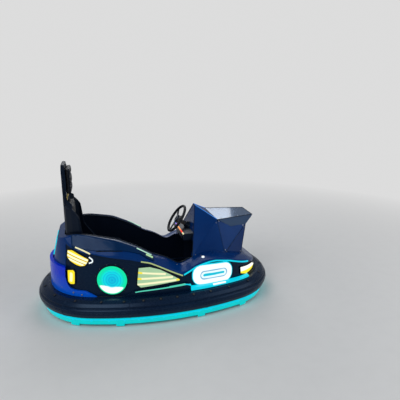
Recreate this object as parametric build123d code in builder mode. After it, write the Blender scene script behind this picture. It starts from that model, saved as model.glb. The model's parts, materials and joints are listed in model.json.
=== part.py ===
from build123d import *
import os
from math import cos, radians, sin, tan

# Drift kart for a fairground floor: one object in millimetres.
# +X is the driving direction, +Y the driver's left, +Z up, the floor is Z = 0.

# Overall plan of the bumper: two long arcs and two end arcs that meet smoothly
overall_length = 1920
overall_width = 1190
end_radius = 530
half_length = overall_length / 2
half_width = overall_width / 2
end_centre_x = half_length - end_radius

# Bumper: a rubber ring of D section with a ridge, (inward offset, height)
bumper_bottom = 75
bumper_top = 206
bumper_inner = 118
bumper_rows = [
    (34, bumper_bottom),
    (10, 92),
    (0, 118),
    (0, 148),
    (5, 156),
    (14, 160),
    (12, 172),
    (30, 192),
    (62, bumper_top),
]

# Light skirt below the bumper, with tabs that hang from its lower edge
skirt_bottom = 24
skirt_inset = 34
skirt_flare = 8
skirt_thickness = 6
tab_bottom = 8
tab_length = 58
tab_x = [-680, -360, 250, 620]

# Chassis
band_thickness = 8
band_inset = bumper_inner
pan_inset = band_inset + band_thickness
pan_low = 60
pan_top = 66
rail_y = 262
rail_size = 34
cross_rail_x = [-640, 395]
rear_beam_half = 20
rear_post_y = 200
rear_post_half = 30
wheel_well_gap = 10
bridge_post_y = 205
bridge_post_size = 40
bridge_half_length = 60
bridge_low = 240
bridge_top = 252

# Body wall: leans inwards as it rises, and its ends reach further out than its sides
body_inset = 125
body_reach = 20
body_base = bumper_top
body_lean = 6
body_ceiling = 720
clear_low = 100
clear_top = 900
shell_foot = 150
liner_wall_foot = 10
shell_thickness = 6
panel_sink = 4
panel_thickness = 9
panel_top = 640
panel_rear_x = -727
sill_inset = 108
sill_lean = 4
sill_top = 280

# Shoulder line between the dark lamp panels and the blue shell, (x, z)
shoulder_line = [
    (panel_rear_x, 100),
    (panel_rear_x, 349),
    (-724, 441),
    (-713, 588),
    (-681, 566),
    (-612, 541),
    (-529, 526),
    (-404, 499),
    (-263, 477),
    (-185, 457),
    (-120, 441),
    (-47, 404),
    (26, 365),
    (87, 334),
    (131, 316),
    (182, 343),
    (231, 374),
    (289, 389),
    (348, 399),
    (400, 398),
    (525, 369),
    (654, 324),
    (740, 302),
    (800, 272),
    (960, 200),
]

# Shell top, (x, half width of the flat top, its height, run outwards, fall over that run)
shell_rows = [
    (-900, 215, 580, 110, 260),
    (-780, 225, 612, 105, 240),
    (-650, 258, 650, 90, 158),
    (-535, 314, 643, 80, 190),
    (-340, 360, 600, 90, 170),
    (-190, 356, 530, 130, 85),
    (-85, 356, 462, 130, 30),
    (20, 358, 424, 130, 50),
    (131, 366, 354, 130, 30),
    (224, 360, 398, 130, 24),
    (300, 350, 426, 130, 30),
    (430, 334, 428, 140, 26),
    (555, 280, 392, 160, 22),
    (660, 235, 356, 165, 26),
    (740, 190, 324, 170, 22),
    (800, 160, 286, 170, 20),
    (900, 100, 230, 180, 20),
]

# The tail leans forwards above its cover, (x, z) from the top down
tail_line = [(-750, 700), (-772, 615), (-822, 420)]

# Deep tail cover, its top line of (x, z), which sweeps down into the ledge at its front ends
cover_inset = 116
cover_lean = 6
cover_line = [
    (-960, 415),
    (panel_rear_x, 415),
    (panel_rear_x - 4, 340),
    (-718, 285),
    (-697, 260),
    (-668, 250),
    (-589, 248),
    (-548, 228),
    (-512, body_base),
]

# Ledge at the foot of the body, its top line of (x, z)
sill_line = [
    (-335, body_base),
    (-310, 212),
    (-276, 228),
    (-239, 243),
    (-202, 248),
    (156, 264),
    (172, 258),
    (186, 230),
    (240, 222),
    (300, 214),
    (960, 214),
]
ledge_inset = 86
ledge_top = 214
ledge_span = (186, 700)

# Cockpit opening, (x, half width)
opening_rows = [
    (-724, 148),
    (-708, 186),
    (-672, 230),
    (-628, 256),
    (-500, 284),
    (-380, 300),
    (300, 300),
    (400, 250),
]
liner_thickness = 6

# Faceted cowl: corners of its left half, (x, y, z)
cowl_peak = (328, 22, 754)
cowl_brow = (477, 180, 662)
cowl_knee = (235, 312, 405)
cowl_hip = (520, 266, 388)
cowl_lip = (750, 128, 584)
cowl_toe = (707, 150, 334)
cowl_inside = (500, 0, 420)
cowl_wall = 6
knee_half = 272
knee_top = 505

# Wing plate on the cowl, and the console below the dash
wing_tip_x = 812
wing_tip_half = 118
wing_tip_depth = 14
wing_tip_undercut = 4
wing_rear_half = 192
console_rear_x = 190
console_top = 560
console_half = 190
console_edge = 9

# Wheels
wheel_radius = 100
tyre_shoulder = 11
rear_wheel_x = -440
rear_wheel_y = 343
rear_tyre_width = 50
rear_hub_radius = 62
rear_hub_width = 44
hub_rim = 10
hub_dish = 10
hub_boss = 12
axle_radius = 12.5
axle_shoulder_gap = 10
axle_stub_reach = 4
running_gap = 0.05
drive_x = 560
drive_tyre_width = 64
drive_hub_radius = 64
drive_hub_width = 60
drive_well_radius = 150
fork_leg_y = 54
fork_leg_thickness = 12
fork_leg_half = 26
fork_leg_foot = 74
fork_pin_reach = 12
fork_crown_z = 212
fork_crown_thickness = 12
fork_crown_radius = 72
fork_stem_radius = 20
fork_stem_reach = 14
fork_cap_radius = 30
fork_cap_thickness = 8
bearing_low = 230
bearing_high = 262
bearing_radius = 44

# Steering
steer_x = 175
steer_z = 640
steer_rake = 35
steer_rim_radius = 119
steer_grip_radius = 11
steer_shaft_radius = 10
steer_shaft_top = 10
steer_shaft_length = 140
steer_boss_radius = 34
steer_boss_length = 16
steer_boss_depth = 12
spoke_centre = 72
spoke_size = (92, 24, 6)
column_radius = 17
column_start = 40
column_cut = 600
gearbox_top = 340
gearbox_half = (70, 62)
gearbox_bore = 54
gearbox_headroom = 30

# Battery
battery_span = (-400, -215)
battery_half = 205

# Seat: its plan runs round the back and the wings, and its back and side views trim that
seat_base_z = 290
seat_base_thickness = 14
seat_back_front = -690
seat_back_rear = -715
seat_front_x = -225
seat_top = 1146
seat_half = 250
seat_back_floor = (-640, 148, 212)
seat_plan_rear = [(seat_back_rear, 138), (-700, 166), (-660, 204), (-614, 234), (seat_front_x, 234)]
seat_plan_front = [(seat_front_x, 212), (-618, 212), (-644, 190), (-682, 148), (seat_back_front, 130)]
seat_back_view = [
    (104, seat_top),
    (136, seat_top - 30),
    (144, 1000),
    (126, 905),
    (196, 850),
    (seat_half, 800),
    (seat_half, seat_base_z),
]
seat_wing_view = [
    (-800, seat_base_z),
    (seat_front_x, seat_base_z),
    (seat_front_x, 360),
    (-300, 430),
    (-500, 470),
    (-590, 600),
    (-612, 780),
    (-650, 830),
    (-660, 1200),
    (-800, 1200),
]
strap_slot_y = 62
strap_slot_z = 890
strap_slot_size = (70, 34)
seat_pad_front_x = -230
seat_pad_half = 186
seat_pad_height = 62
back_pad_depth = 45
back_pad_half = 128
back_pad_top = 840
head_pad_depth = 40
head_pad_half = 112
head_pad_span = (925, 1118)

# Foot pedal, side view of (x, z)
pedal_half = 45
pedal_view = [(300, pan_top), (372, pan_top), (372, 92), (346, 92), (322, 210), (312, 208)]

# Lamps on the side panels: heights above the panel, centres, sizes and outlines of (x, z)
lamp_proud = 10
head_slot_floor = 5
head_bar_top = 9
head_bar_trim = 6
head_bar_wall = 30
ring_floor = 4
ring_step_top = 7
ring_lip = 16
ring_step_radii = (66, 56, 30)
ring_boss_proud = 3
plain_lamp_proud = 5
marker_proud = 8
lamp_bar_height = 4
corner_proud = 6
head_centre = (371, 300)
head_size = (334, 150)
head_corner = 66
head_tilt = -3.5
head_slot_centre = (381, 296)
head_slot_size = (226, 76)
head_slot_tilt = -7
ring_centre = (-399, 331)
ring_radius = 108
ring_boss_radius = 126
triangle_outline = [
    (-205, 415),
    (-121, 416),
    (-48, 390),
    (26, 348),
    (101, 299),
    (100, 284),
    (-194, 261),
    (-222, 286),
]
triangle_bars = [(-196, 377, -8, 352, 15), (-200, 331, 46, 323, 15), (-196, 288, 92, 297, 14)]
rear_bar_outline = [
    (-702, 543),
    (-709, 489),
    (-689, 464),
    (-654, 444),
    (-620, 433),
    (-584, 439),
    (-561, 470),
    (-556, 488),
    (-668, 548),
]
rear_bars = [(-694, 529, -572, 482, 13), (-700, 503, -580, 459, 13), (-688, 476, -606, 447, 12)]
marker_outline = [(-713, 391), (-672, 400), (-660, 387), (-666, 295), (-698, 289), (-715, 307)]
corner_outline = [(626, 295), (770, 274), (822, 236), (775, 223), (686, 218), (628, 240)]
corner_upper = [(632, 289), (768, 269), (808, 240), (742, 250), (640, 256)]

# Blade along the rear shoulder, outline of (x, z)
blade_proud = 8
blade_setback = 26
blade_outline = [
    (-671, 560),
    (-612, 556),
    (-541, 547),
    (-436, 544),
    (-329, 541),
    (-257, 525),
    (-185, 502),
    (-128, 465),
    (-87, 446),
    (-87, 462),
    (-122, 492),
    (-209, 550),
    (-381, 622),
    (-628, 658),
    (-671, 662),
]

# Crossed strokes on the tail
cross_length = 220
cross_width = 24
cross_turn = 36
cross_proud = 8

os.makedirs("parts", exist_ok=True)


def oval(inset, reach=0):
    """Return the plan outline moved inwards by inset, with its ends moved outwards by reach."""
    centre_x = end_centre_x + reach
    side_radius = (centre_x**2 + half_width**2 - end_radius**2) / (2 * (half_width - end_radius))
    side_centre_y = side_radius - half_width
    share = (side_radius - inset) / (side_radius - end_radius)
    join_x = centre_x * share
    join_y = side_centre_y * share - side_centre_y
    tip = half_length + reach - inset
    flank = half_width - inset
    with BuildSketch() as plan:
        with BuildLine():
            ThreePointArc((join_x, join_y), (0, flank), (-join_x, join_y))
            ThreePointArc((-join_x, join_y), (-tip, 0), (-join_x, -join_y))
            ThreePointArc((-join_x, -join_y), (0, -flank), (join_x, -join_y))
            ThreePointArc((join_x, -join_y), (tip, 0), (join_x, join_y))
        make_face()
    return plan.sketch


def stack(rows, mode=Mode.ADD, reach=0):
    """Fill the plan outline through rows of (inset, height)."""
    levels = [Plane.XY.offset(height) * oval(inset, reach) for inset, height in rows]
    loft(levels, ruled=True, mode=mode)


def wall_block(extra, low, high, mode=Mode.ADD):
    """Fill the leaning body wall, moved inwards by extra, between two heights."""
    lean = tan(radians(body_lean))
    foot = body_inset + extra + (low - body_base) * lean
    head = body_inset + extra + (high - body_base) * lean
    stack([(foot, low), (head, high)], mode, body_reach)


def outline(points, shrink=0):
    """Return a closed sketch through the points, moved inwards by shrink."""
    with BuildSketch() as flat:
        with BuildLine():
            Polyline(*points, close=True)
        make_face()
        if shrink:
            offset(amount=-shrink, kind=Kind.INTERSECTION, mode=Mode.REPLACE)
    return flat.sketch


def across(points, reach, mode=Mode.ADD, shrink=0):
    """Extrude a side outline of (x, z) points by reach to both sides."""
    with BuildSketch(Plane.XZ) as side:
        add(outline(points, shrink))
    extrude(side.sketch, amount=reach, both=True, mode=mode)


def shell_block(skin, mode=Mode.ADD):
    """Fill the volume under the shell top, made smaller by skin."""
    faces = []
    for x, half, height, run, fall in shell_rows:
        edge = half + run
        with BuildSketch(Plane.YZ.offset(x)) as section:
            with BuildLine():
                Polyline(
                    (-edge, shell_foot),
                    (edge, shell_foot),
                    (edge, height - fall - skin),
                    (half - skin / 2, height - skin),
                    (skin / 2 - half, height - skin),
                    (-edge, height - fall - skin),
                    close=True,
                )
            make_face()
        faces.append(section.sketch)
    loft(faces, ruled=True, mode=mode)


def opening_block(grow, low, high, mode=Mode.ADD):
    """Fill the cockpit opening, grown outwards, between two heights."""
    left = [(x, half + grow) for x, half in opening_rows]
    left[0] = (left[0][0] - grow, left[0][1])
    left[-1] = (left[-1][0] + grow, left[-1][1])
    right = [(x, -y) for x, y in reversed(left)]
    with BuildSketch(Plane.XY.offset(low)) as plan:
        with BuildLine():
            Polyline(*left, *right, close=True)
        make_face()
    extrude(plan.sketch, amount=high - low, mode=mode)


def brick(x_span, y_span, z_span, mode=Mode.ADD):
    """Place a box by its low and high values on each axis."""
    middle = [(span[0] + span[1]) / 2 for span in (x_span, y_span, z_span)]
    with Locations(tuple(middle)):
        Box(x_span[1] - x_span[0], y_span[1] - y_span[0], z_span[1] - z_span[0], mode=mode)


def save(node, label):
    """Label a finished solid and write its file."""
    node.part.label = label
    export_step(node.part, "parts/" + label + ".step")


# Bumper ring
with BuildPart() as bumper_ring:
    stack(bumper_rows)
    stack([(bumper_inner, bumper_bottom - 1), (bumper_inner, bumper_top + 1)], Mode.SUBTRACT)
save(bumper_ring, "bumper_ring")

# Light skirt with its tabs
with BuildPart() as underglow_skirt:
    foot_inset = skirt_inset + skirt_flare
    stack([(foot_inset, skirt_bottom), (skirt_inset, bumper_bottom)])
    with BuildPart(mode=Mode.PRIVATE) as tabs:
        stack([(foot_inset, tab_bottom), (foot_inset, skirt_bottom + 1)])
        with BuildPart(mode=Mode.PRIVATE) as tab_boxes:
            for x in tab_x:
                tab_span = (x - tab_length / 2, x + tab_length / 2)
                brick(tab_span, (-half_width, half_width), (0, bumper_bottom))
        add(tab_boxes.part, mode=Mode.INTERSECT)
    add(tabs.part)
    inner = skirt_thickness
    stack([(foot_inset + inner, tab_bottom - 1), (foot_inset + inner, skirt_bottom)], Mode.SUBTRACT)
    stack([(foot_inset + inner, skirt_bottom), (skirt_inset + inner, bumper_bottom)], Mode.SUBTRACT)
save(underglow_skirt, "underglow_skirt")

# Chassis: outer band, rails, crossmembers and the bridge over the drive wheel
rail_z = (pan_top, pan_top + rail_size)
rear_beam_x = (rear_wheel_x - rear_beam_half, rear_wheel_x + rear_beam_half)
rear_beam_z = (wheel_radius - rear_beam_half, wheel_radius + rear_beam_half)
rear_beam_end = rear_wheel_y - rear_tyre_width / 2 - axle_shoulder_gap
rear_beam_y = (-rear_beam_end, rear_beam_end)
with BuildPart() as chassis_frame:
    for side in (-1, 1):
        low_y = side * rail_y - rail_size / 2
        brick((cross_rail_x[0], cross_rail_x[-1]), (low_y, low_y + rail_size), rail_z)
    for x in cross_rail_x:
        brick((x - rail_size / 2, x + rail_size / 2), (-half_width, half_width), rail_z)
    stack([(band_inset + 1, pan_low), (band_inset + 1, body_base)], Mode.INTERSECT)
    with BuildPart(mode=Mode.PRIVATE) as band:
        stack([(band_inset, pan_low), (band_inset, body_base)])
        stack([(pan_inset, pan_low - 1), (pan_inset, body_base + 1)], Mode.SUBTRACT)
    add(band.part)
    brick(rear_beam_x, rear_beam_y, rear_beam_z, Mode.SUBTRACT)
    rail_end = cross_rail_x[-1]
    post = bridge_post_size / 2
    for side in (-1, 1):
        y = side * bridge_post_y
        brick((drive_x - post, drive_x + post), (y - post, y + post), (pan_top, bridge_low))
        brick((rail_end, drive_x), (y - rail_size / 2, y + rail_size / 2), rail_z)
    bridge_half = bridge_post_y + post
    brick(
        (drive_x - bridge_half_length, drive_x + bridge_half_length),
        (-bridge_half, bridge_half),
        (bridge_low, bridge_top),
    )
    with Locations((drive_x, 0, (bearing_low + bearing_high) / 2)):
        Cylinder(bearing_radius, bearing_high - bearing_low)
        Cylinder(fork_stem_radius + running_gap, bearing_high - bearing_low, mode=Mode.SUBTRACT)
save(chassis_frame, "chassis_frame")

# Floor pan with three wheel openings
with BuildPart() as floor_pan:
    stack([(pan_inset, pan_low), (pan_inset, pan_top)])
    with Locations((drive_x, 0, pan_low)):
        Cylinder(drive_well_radius, 4 * (pan_top - pan_low), mode=Mode.SUBTRACT)
    for side in (-1, 1):
        with Locations((rear_wheel_x, side * rear_wheel_y, pan_low)):
            Box(
                2 * (wheel_radius + wheel_well_gap),
                rear_tyre_width + 2 * wheel_well_gap,
                4 * (pan_top - pan_low),
                mode=Mode.SUBTRACT,
            )
save(floor_pan, "floor_pan")

# Rear axle beam with a stub at each end
with BuildPart() as rear_axle:
    brick(rear_beam_x, rear_beam_y, rear_beam_z)
    for side in (-1, 1):
        y = side * rear_post_y
        brick(rear_beam_x, (y - rear_post_half, y + rear_post_half), (pan_top, rear_beam_z[0]))
    stub_end = rear_wheel_y + rear_tyre_width / 2 + axle_stub_reach
    with Locations((rear_wheel_x, 0, wheel_radius)):
        Cylinder(axle_radius, 2 * stub_end, rotation=(90, 0, 0))
save(rear_axle, "rear_axle")


def hub(centre, outer, width, bore):
    """Build a dished wheel hub with a running bore."""
    with BuildPart(Plane(centre, z_dir=(0, 1, 0))) as wheel:
        Cylinder(outer, width)
        for face in (-1, 1):
            with Locations((0, 0, face * width / 2)):
                Cylinder(outer - hub_rim, 2 * hub_dish, mode=Mode.SUBTRACT)
        Cylinder(bore + hub_boss, width)
        Cylinder(bore, width, mode=Mode.SUBTRACT)
    return wheel


def tyre(centre, inner, width):
    """Build a solid tyre with rounded shoulders."""
    with BuildPart() as ring:
        with BuildSketch(Plane.YZ) as section:
            with BuildLine():
                Polyline(
                    (-width / 2, inner),
                    (width / 2, inner),
                    (width / 2, wheel_radius - tyre_shoulder),
                    (width / 2 - tyre_shoulder, wheel_radius),
                    (tyre_shoulder - width / 2, wheel_radius),
                    (-width / 2, wheel_radius - tyre_shoulder),
                    close=True,
                )
            make_face()
        revolve(axis=Axis.Y)
    return Pos(*centre) * ring.part


for side, word in ((1, "left"), (-1, "right")):
    centre = (rear_wheel_x, side * rear_wheel_y, wheel_radius)
    rear_hub = hub(centre, rear_hub_radius, rear_hub_width, axle_radius + running_gap)
    save(rear_hub, "rear_hub_" + word)
    with BuildPart() as rear_tyre:
        add(tyre(centre, rear_hub_radius, rear_tyre_width))
    save(rear_tyre, "rear_tyre_" + word)

# Drive fork: crown, legs, axle pin and stem in one swivelling piece
with BuildPart() as drive_fork:
    with Locations((drive_x, 0, fork_crown_z + fork_crown_thickness / 2)):
        Cylinder(fork_crown_radius, fork_crown_thickness)
    for side in (-1, 1):
        low_y = side * fork_leg_y - fork_leg_thickness / 2
        leg_x = (drive_x - fork_leg_half, drive_x + fork_leg_half)
        brick(leg_x, (low_y, low_y + fork_leg_thickness), (fork_leg_foot, fork_crown_z))
    with Locations((drive_x, 0, wheel_radius)):
        Cylinder(axle_radius, 2 * (fork_leg_y + fork_pin_reach), rotation=(90, 0, 0))
    stem_top = bearing_high + fork_stem_reach
    with Locations((drive_x, 0, (fork_crown_z + stem_top) / 2)):
        Cylinder(fork_stem_radius, stem_top - fork_crown_z)
    with Locations((drive_x, 0, stem_top - fork_cap_thickness / 2)):
        Cylinder(fork_cap_radius, fork_cap_thickness)
save(drive_fork, "drive_fork")

drive_centre = (drive_x, 0, wheel_radius)
drive_hub = hub(drive_centre, drive_hub_radius, drive_hub_width, axle_radius + running_gap)
save(drive_hub, "drive_hub")
with BuildPart() as drive_tyre:
    add(tyre(drive_centre, drive_hub_radius, drive_tyre_width))
save(drive_tyre, "drive_tyre")

# Steering gearbox on the bridge, open from below round the fork stem
with BuildPart() as steering_gearbox:
    brick(
        (drive_x - gearbox_half[0], drive_x + gearbox_half[0]),
        (-gearbox_half[1], gearbox_half[1]),
        (bridge_top, gearbox_top),
    )
    with Locations((drive_x, 0, bridge_top)):
        Cylinder(gearbox_bore, 2 * (bearing_high - bridge_top + gearbox_headroom), mode=Mode.SUBTRACT)
save(steering_gearbox, "steering_gearbox")

# Steering axis: its plane stands at the steering wheel, normal towards the driver
rake = radians(steer_rake)
steer_plane = Plane((steer_x, 0, steer_z), x_dir=(0, 1, 0), z_dir=(-cos(rake), 0, sin(rake)))
column_end = (steer_z - gearbox_top) / sin(rake) + column_radius
with BuildPart() as steering_column:
    with Locations(steer_plane.location * Location((0, 0, -(column_start + column_end) / 2))):
        Cylinder(column_radius, column_end - column_start)
        Cylinder(steer_shaft_radius + running_gap, column_end - column_start, mode=Mode.SUBTRACT)
    brick((steer_x, half_length), (-half_width, half_width), (0, gearbox_top), Mode.SUBTRACT)
save(steering_column, "steering_column")

with BuildPart() as steering_rim:
    with BuildSketch(Plane.XZ) as grip:
        with Locations((steer_rim_radius, 0)):
            RegularPolygon(steer_grip_radius, 10)
    revolve(axis=Axis.Z)
steering_rim.part = steer_plane.location * steering_rim.part
save(steering_rim, "steering_rim")

with BuildPart() as steering_hub:
    with Locations(steer_plane.location):
        with Locations((0, 0, -steer_boss_depth)):
            Cylinder(steer_boss_radius, steer_boss_length)
        with PolarLocations(spoke_centre, 3, start_angle=90):
            with Locations((0, 0, -spoke_size[2])):
                Box(*spoke_size)
        with Locations((0, 0, -steer_shaft_top - steer_shaft_length / 2)):
            Cylinder(steer_shaft_radius, steer_shaft_length)
    add(steering_rim.part, mode=Mode.SUBTRACT)
save(steering_hub, "steering_hub")

# Battery block under the seat
with BuildPart() as battery_box:
    brick(battery_span, (-battery_half, battery_half), (pan_top, seat_base_z))
save(battery_box, "battery_box")

# Blue upper shell with its tail, open below, with the cockpit opening
with BuildPart() as upper_shell:
    shell_block(0)
    wall_block(0, body_base, body_ceiling, Mode.INTERSECT)
    tail_cut = [*tail_line, (-half_length, tail_line[-1][1]), (-half_length, tail_line[0][1])]
    across(tail_cut, half_width, Mode.SUBTRACT)
    with BuildPart(mode=Mode.PRIVATE) as core:
        shell_block(shell_thickness)
        wall_block(shell_thickness, body_base - 10, body_ceiling + 10, Mode.INTERSECT)
        inner_line = [(x + shell_thickness, z) for x, z in tail_line]
        inner_line[-1] = (inner_line[-1][0], tail_line[-1][1] - shell_thickness)
        low = inner_line[-1][1]
        inner_cut = [*inner_line, (-half_length, low), (-half_length, tail_line[0][1])]
        across(inner_cut, half_width, Mode.SUBTRACT)
    add(core.part, mode=Mode.SUBTRACT)
    across([*shoulder_line, (half_length, clear_low)], half_width, Mode.SUBTRACT)
    opening_block(0, clear_low, clear_top, Mode.SUBTRACT)
    with Locations(steer_plane.location * Location((0, 0, -column_cut / 2))):
        Cylinder(column_radius, column_cut, mode=Mode.SUBTRACT)
save(upper_shell, "upper_shell")


def panel_layer(face, word, low, high, mode=Mode.ADD):
    """Fill a sketch of the side view between two heights above one side panel."""
    side = 1 if word == "left" else -1
    with BuildPart(mode=Mode.PRIVATE) as layer:
        wall_block(panel_sink - high, body_base, panel_top)
        wall_block(panel_sink - low, body_base - 1, panel_top + 10, Mode.SUBTRACT)
        with BuildSketch(Plane.XZ) as view:
            add(face)
        extrude(view.sketch, amount=-side * half_length, mode=Mode.INTERSECT)
    add(layer.part, mode=mode)


def disc(centre, radius, hole=0):
    """Return a disc or ring sketch of the side view."""
    with BuildSketch() as face:
        with Locations(centre):
            Circle(radius)
            if hole:
                Circle(hole, mode=Mode.SUBTRACT)
    return face.sketch


def bar(x_start, z_start, x_end, z_end, width):
    """Return a straight bar of the side view."""
    half = width / 2
    low = [(x_start, z_start - half), (x_end, z_end - half)]
    high = [(x_end, z_end + half), (x_start, z_start + half)]
    return outline(low + high)


# Dark lamp panels, one to each side, meeting at the nose
with BuildPart() as panels:
    wall_block(panel_sink, body_base, panel_top)
    wall_block(panel_sink + panel_thickness, body_base - 1, panel_top + 10, Mode.SUBTRACT)
    above = [(half_length, clear_top), (-half_length, clear_top), (-half_length, clear_low)]
    across([*shoulder_line, *above], half_width, Mode.SUBTRACT)
for side, word in ((1, "left"), (-1, "right")):
    with BuildPart() as side_panel:
        add(panels.part)
        far = -side * half_width
        brick((-half_length, half_length), (min(0, far), max(0, far)), (0, clear_top), Mode.SUBTRACT)
        panel_layer(disc(ring_centre, ring_boss_radius), word, 0, ring_boss_proud)
        panel_layer(disc(ring_centre, ring_radius), word, 0, ring_boss_proud, Mode.SUBTRACT)
    save(side_panel, "side_panel_" + word)

# Ledge at the foot of the body, from the ring lamps round the nose
with BuildPart() as body_sill:
    stack([(sill_inset, body_base), (sill_inset + sill_lean, sill_top)], reach=body_reach)
    with BuildPart(mode=Mode.PRIVATE) as ledge:
        stack([(ledge_inset, body_base), (ledge_inset + sill_lean, ledge_top)], reach=body_reach)
        brick(ledge_span, (-half_width, half_width), (0, clear_top), Mode.INTERSECT)
    add(ledge.part)
    wall_block(panel_sink, body_base - 1, sill_top + 1, Mode.SUBTRACT)
    above = [(half_length, clear_top), (-half_length, clear_top)]
    behind = [(-half_length, clear_low), (sill_line[0][0], clear_low)]
    across([*sill_line, *above, *behind], half_width, Mode.SUBTRACT)
save(body_sill, "body_sill")

# Tail cover that wraps the rear and sweeps into the ledge
with BuildPart() as tail_cover:
    cover_top = cover_line[0][1]
    stack([(cover_inset, body_base), (cover_inset + cover_lean, cover_top + 5)], reach=body_reach)
    wall_block(panel_sink, body_base - 1, cover_top + 6, Mode.SUBTRACT)
    with BuildPart(mode=Mode.PRIVATE) as tail_core:
        wall_block(0, body_base - 1, cover_top + 6)
        brick((panel_rear_x, half_length), (-half_width, half_width), (0, clear_top), Mode.SUBTRACT)
    add(tail_core.part, mode=Mode.SUBTRACT)
    front = [(cover_line[-1][0], clear_low), (half_length, clear_low)]
    above = [(half_length, clear_top), (-half_length, clear_top)]
    across([*cover_line, *front, *above], half_width, Mode.SUBTRACT)
save(tail_cover, "tail_cover")

# Cockpit liner from the floor pan up to the underside of the shell
with BuildPart() as cockpit_liner:
    opening_block(liner_thickness, pan_top, clear_top)
    opening_block(0, pan_top - 1, clear_top + 1, Mode.SUBTRACT)
    with BuildPart(mode=Mode.PRIVATE) as ceiling:
        shell_block(shell_thickness)
        wall_block(shell_thickness, liner_wall_foot, body_ceiling + 10, Mode.INTERSECT)
    add(ceiling.part, mode=Mode.INTERSECT)
    for x in cross_rail_x:
        rail_x = (x - rail_size / 2, x + rail_size / 2)
        brick(rail_x, (-half_width, half_width), (pan_top - 1, rail_z[1]), Mode.SUBTRACT)
    brick(rear_beam_x, rear_beam_y, (pan_top - 1, rear_beam_z[1]), Mode.SUBTRACT)
save(cockpit_liner, "cockpit_liner")


def mirrored(point):
    """Return a corner's twin on the other side."""
    return (point[0], -point[1], point[2])


def facet_planes(corners, skin):
    """Return the planes through three corners and through their twins, moved inwards by skin."""
    planes = []
    for first, second, third in (corners, [mirrored(corner) for corner in corners]):
        start = Vector(*first)
        normal = (Vector(*second) - start).cross(Vector(*third) - start).normalized()
        if (Vector(*cowl_inside) - start).dot(normal) > 0:
            normal = normal * -1
        planes.append(Plane(start - normal * skin, z_dir=normal))
    return planes


def cowl_block(skin):
    """Return the faceted cowl as a full block, made smaller by skin on every facet."""
    flanks = [
        (cowl_peak, cowl_brow, cowl_knee),
        (cowl_brow, cowl_knee, cowl_hip),
        (cowl_brow, cowl_hip, cowl_lip),
        (cowl_hip, cowl_lip, cowl_toe),
        (cowl_lip, cowl_toe, mirrored(cowl_toe)),
    ]
    hood = [
        (cowl_peak, cowl_knee, mirrored(cowl_knee)),
        (cowl_peak, cowl_brow, mirrored(cowl_brow)),
    ]
    with BuildPart() as block:
        brick((0, wing_tip_x), (-half_width, half_width), (body_base, clear_top))
        for corners in flanks + hood:
            for plane in facet_planes(corners, skin):
                split(bisect_by=plane, keep=Keep.BOTTOM)
        with BuildPart(mode=Mode.PRIVATE) as beak:
            brick((cowl_brow[0], wing_tip_x), (-half_width, half_width), (body_base, cowl_lip[2] - skin))
            for corners in flanks:
                for plane in facet_planes(corners, skin):
                    split(bisect_by=plane, keep=Keep.BOTTOM)
        add(beak.part)
    return block.part


# Cowl over the pedals, open below, standing on the shell
with BuildPart() as cowl:
    add(cowl_block(0))
    add(cowl_block(cowl_wall), mode=Mode.SUBTRACT)
    with BuildPart(mode=Mode.PRIVATE) as deck:
        shell_block(0)
    add(deck.part, mode=Mode.SUBTRACT)
    brick((0, cowl_peak[0]), (-knee_half, knee_half), (body_base, knee_top), Mode.SUBTRACT)
    with Locations(steer_plane.location * Location((0, 0, -column_cut / 2))):
        Cylinder(column_radius, column_cut, mode=Mode.SUBTRACT)
save(cowl, "cowl")

# Wing plate: a wedge with an undercut tip that seats on the cowl's slope and shelf
with BuildPart() as wing_plate:
    slope = (cowl_peak[2] - cowl_brow[2]) / (cowl_brow[0] - cowl_peak[0])
    shelf_x = cowl_brow[0] + (cowl_brow[2] - cowl_lip[2]) / slope
    across(
        [
            (cowl_brow[0], cowl_brow[2]),
            (wing_tip_x, cowl_brow[2]),
            (wing_tip_x - wing_tip_undercut, cowl_brow[2] - wing_tip_depth),
            (cowl_lip[0], cowl_lip[2]),
            (shelf_x, cowl_lip[2]),
        ],
        half_width,
    )
    rear = (cowl_brow[0], wing_rear_half)
    front = (wing_tip_x, wing_tip_half)
    with BuildSketch(Plane.XY.offset(body_base)) as wing_plan:
        add(outline([rear, front, (front[0], -front[1]), (rear[0], -rear[1])]))
    extrude(wing_plan.sketch, amount=clear_top - body_base, mode=Mode.INTERSECT)
save(wing_plate, "wing_plate")

# Console below the dash, with a bevelled rear edge
with BuildPart() as dash_console:
    across(
        [
            (console_rear_x, knee_top),
            (console_rear_x, console_top - console_edge),
            (console_rear_x + console_edge, console_top),
            (cowl_peak[0], console_top),
            (cowl_peak[0], knee_top),
        ],
        console_half,
    )
    add(cowl_block(0), mode=Mode.SUBTRACT)
    with Locations(steer_plane.location * Location((0, 0, -column_cut / 2))):
        Cylinder(column_radius, column_cut, mode=Mode.SUBTRACT)
save(dash_console, "dash_console")


def head_plate():
    """Return the headlamp's outline."""
    with BuildSketch() as face:
        with Locations(Location(head_centre, head_tilt)):
            RectangleRounded(*head_size, head_corner)
    return face.sketch


def head_slot(trim):
    """Return the slot in the headlamp, made smaller by trim on every side."""
    length, height = head_slot_size
    with BuildSketch() as face:
        with Locations(Location(head_slot_centre, head_slot_tilt)):
            SlotOverall(length - 2 * trim, height - 2 * trim)
    return face.sketch


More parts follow.
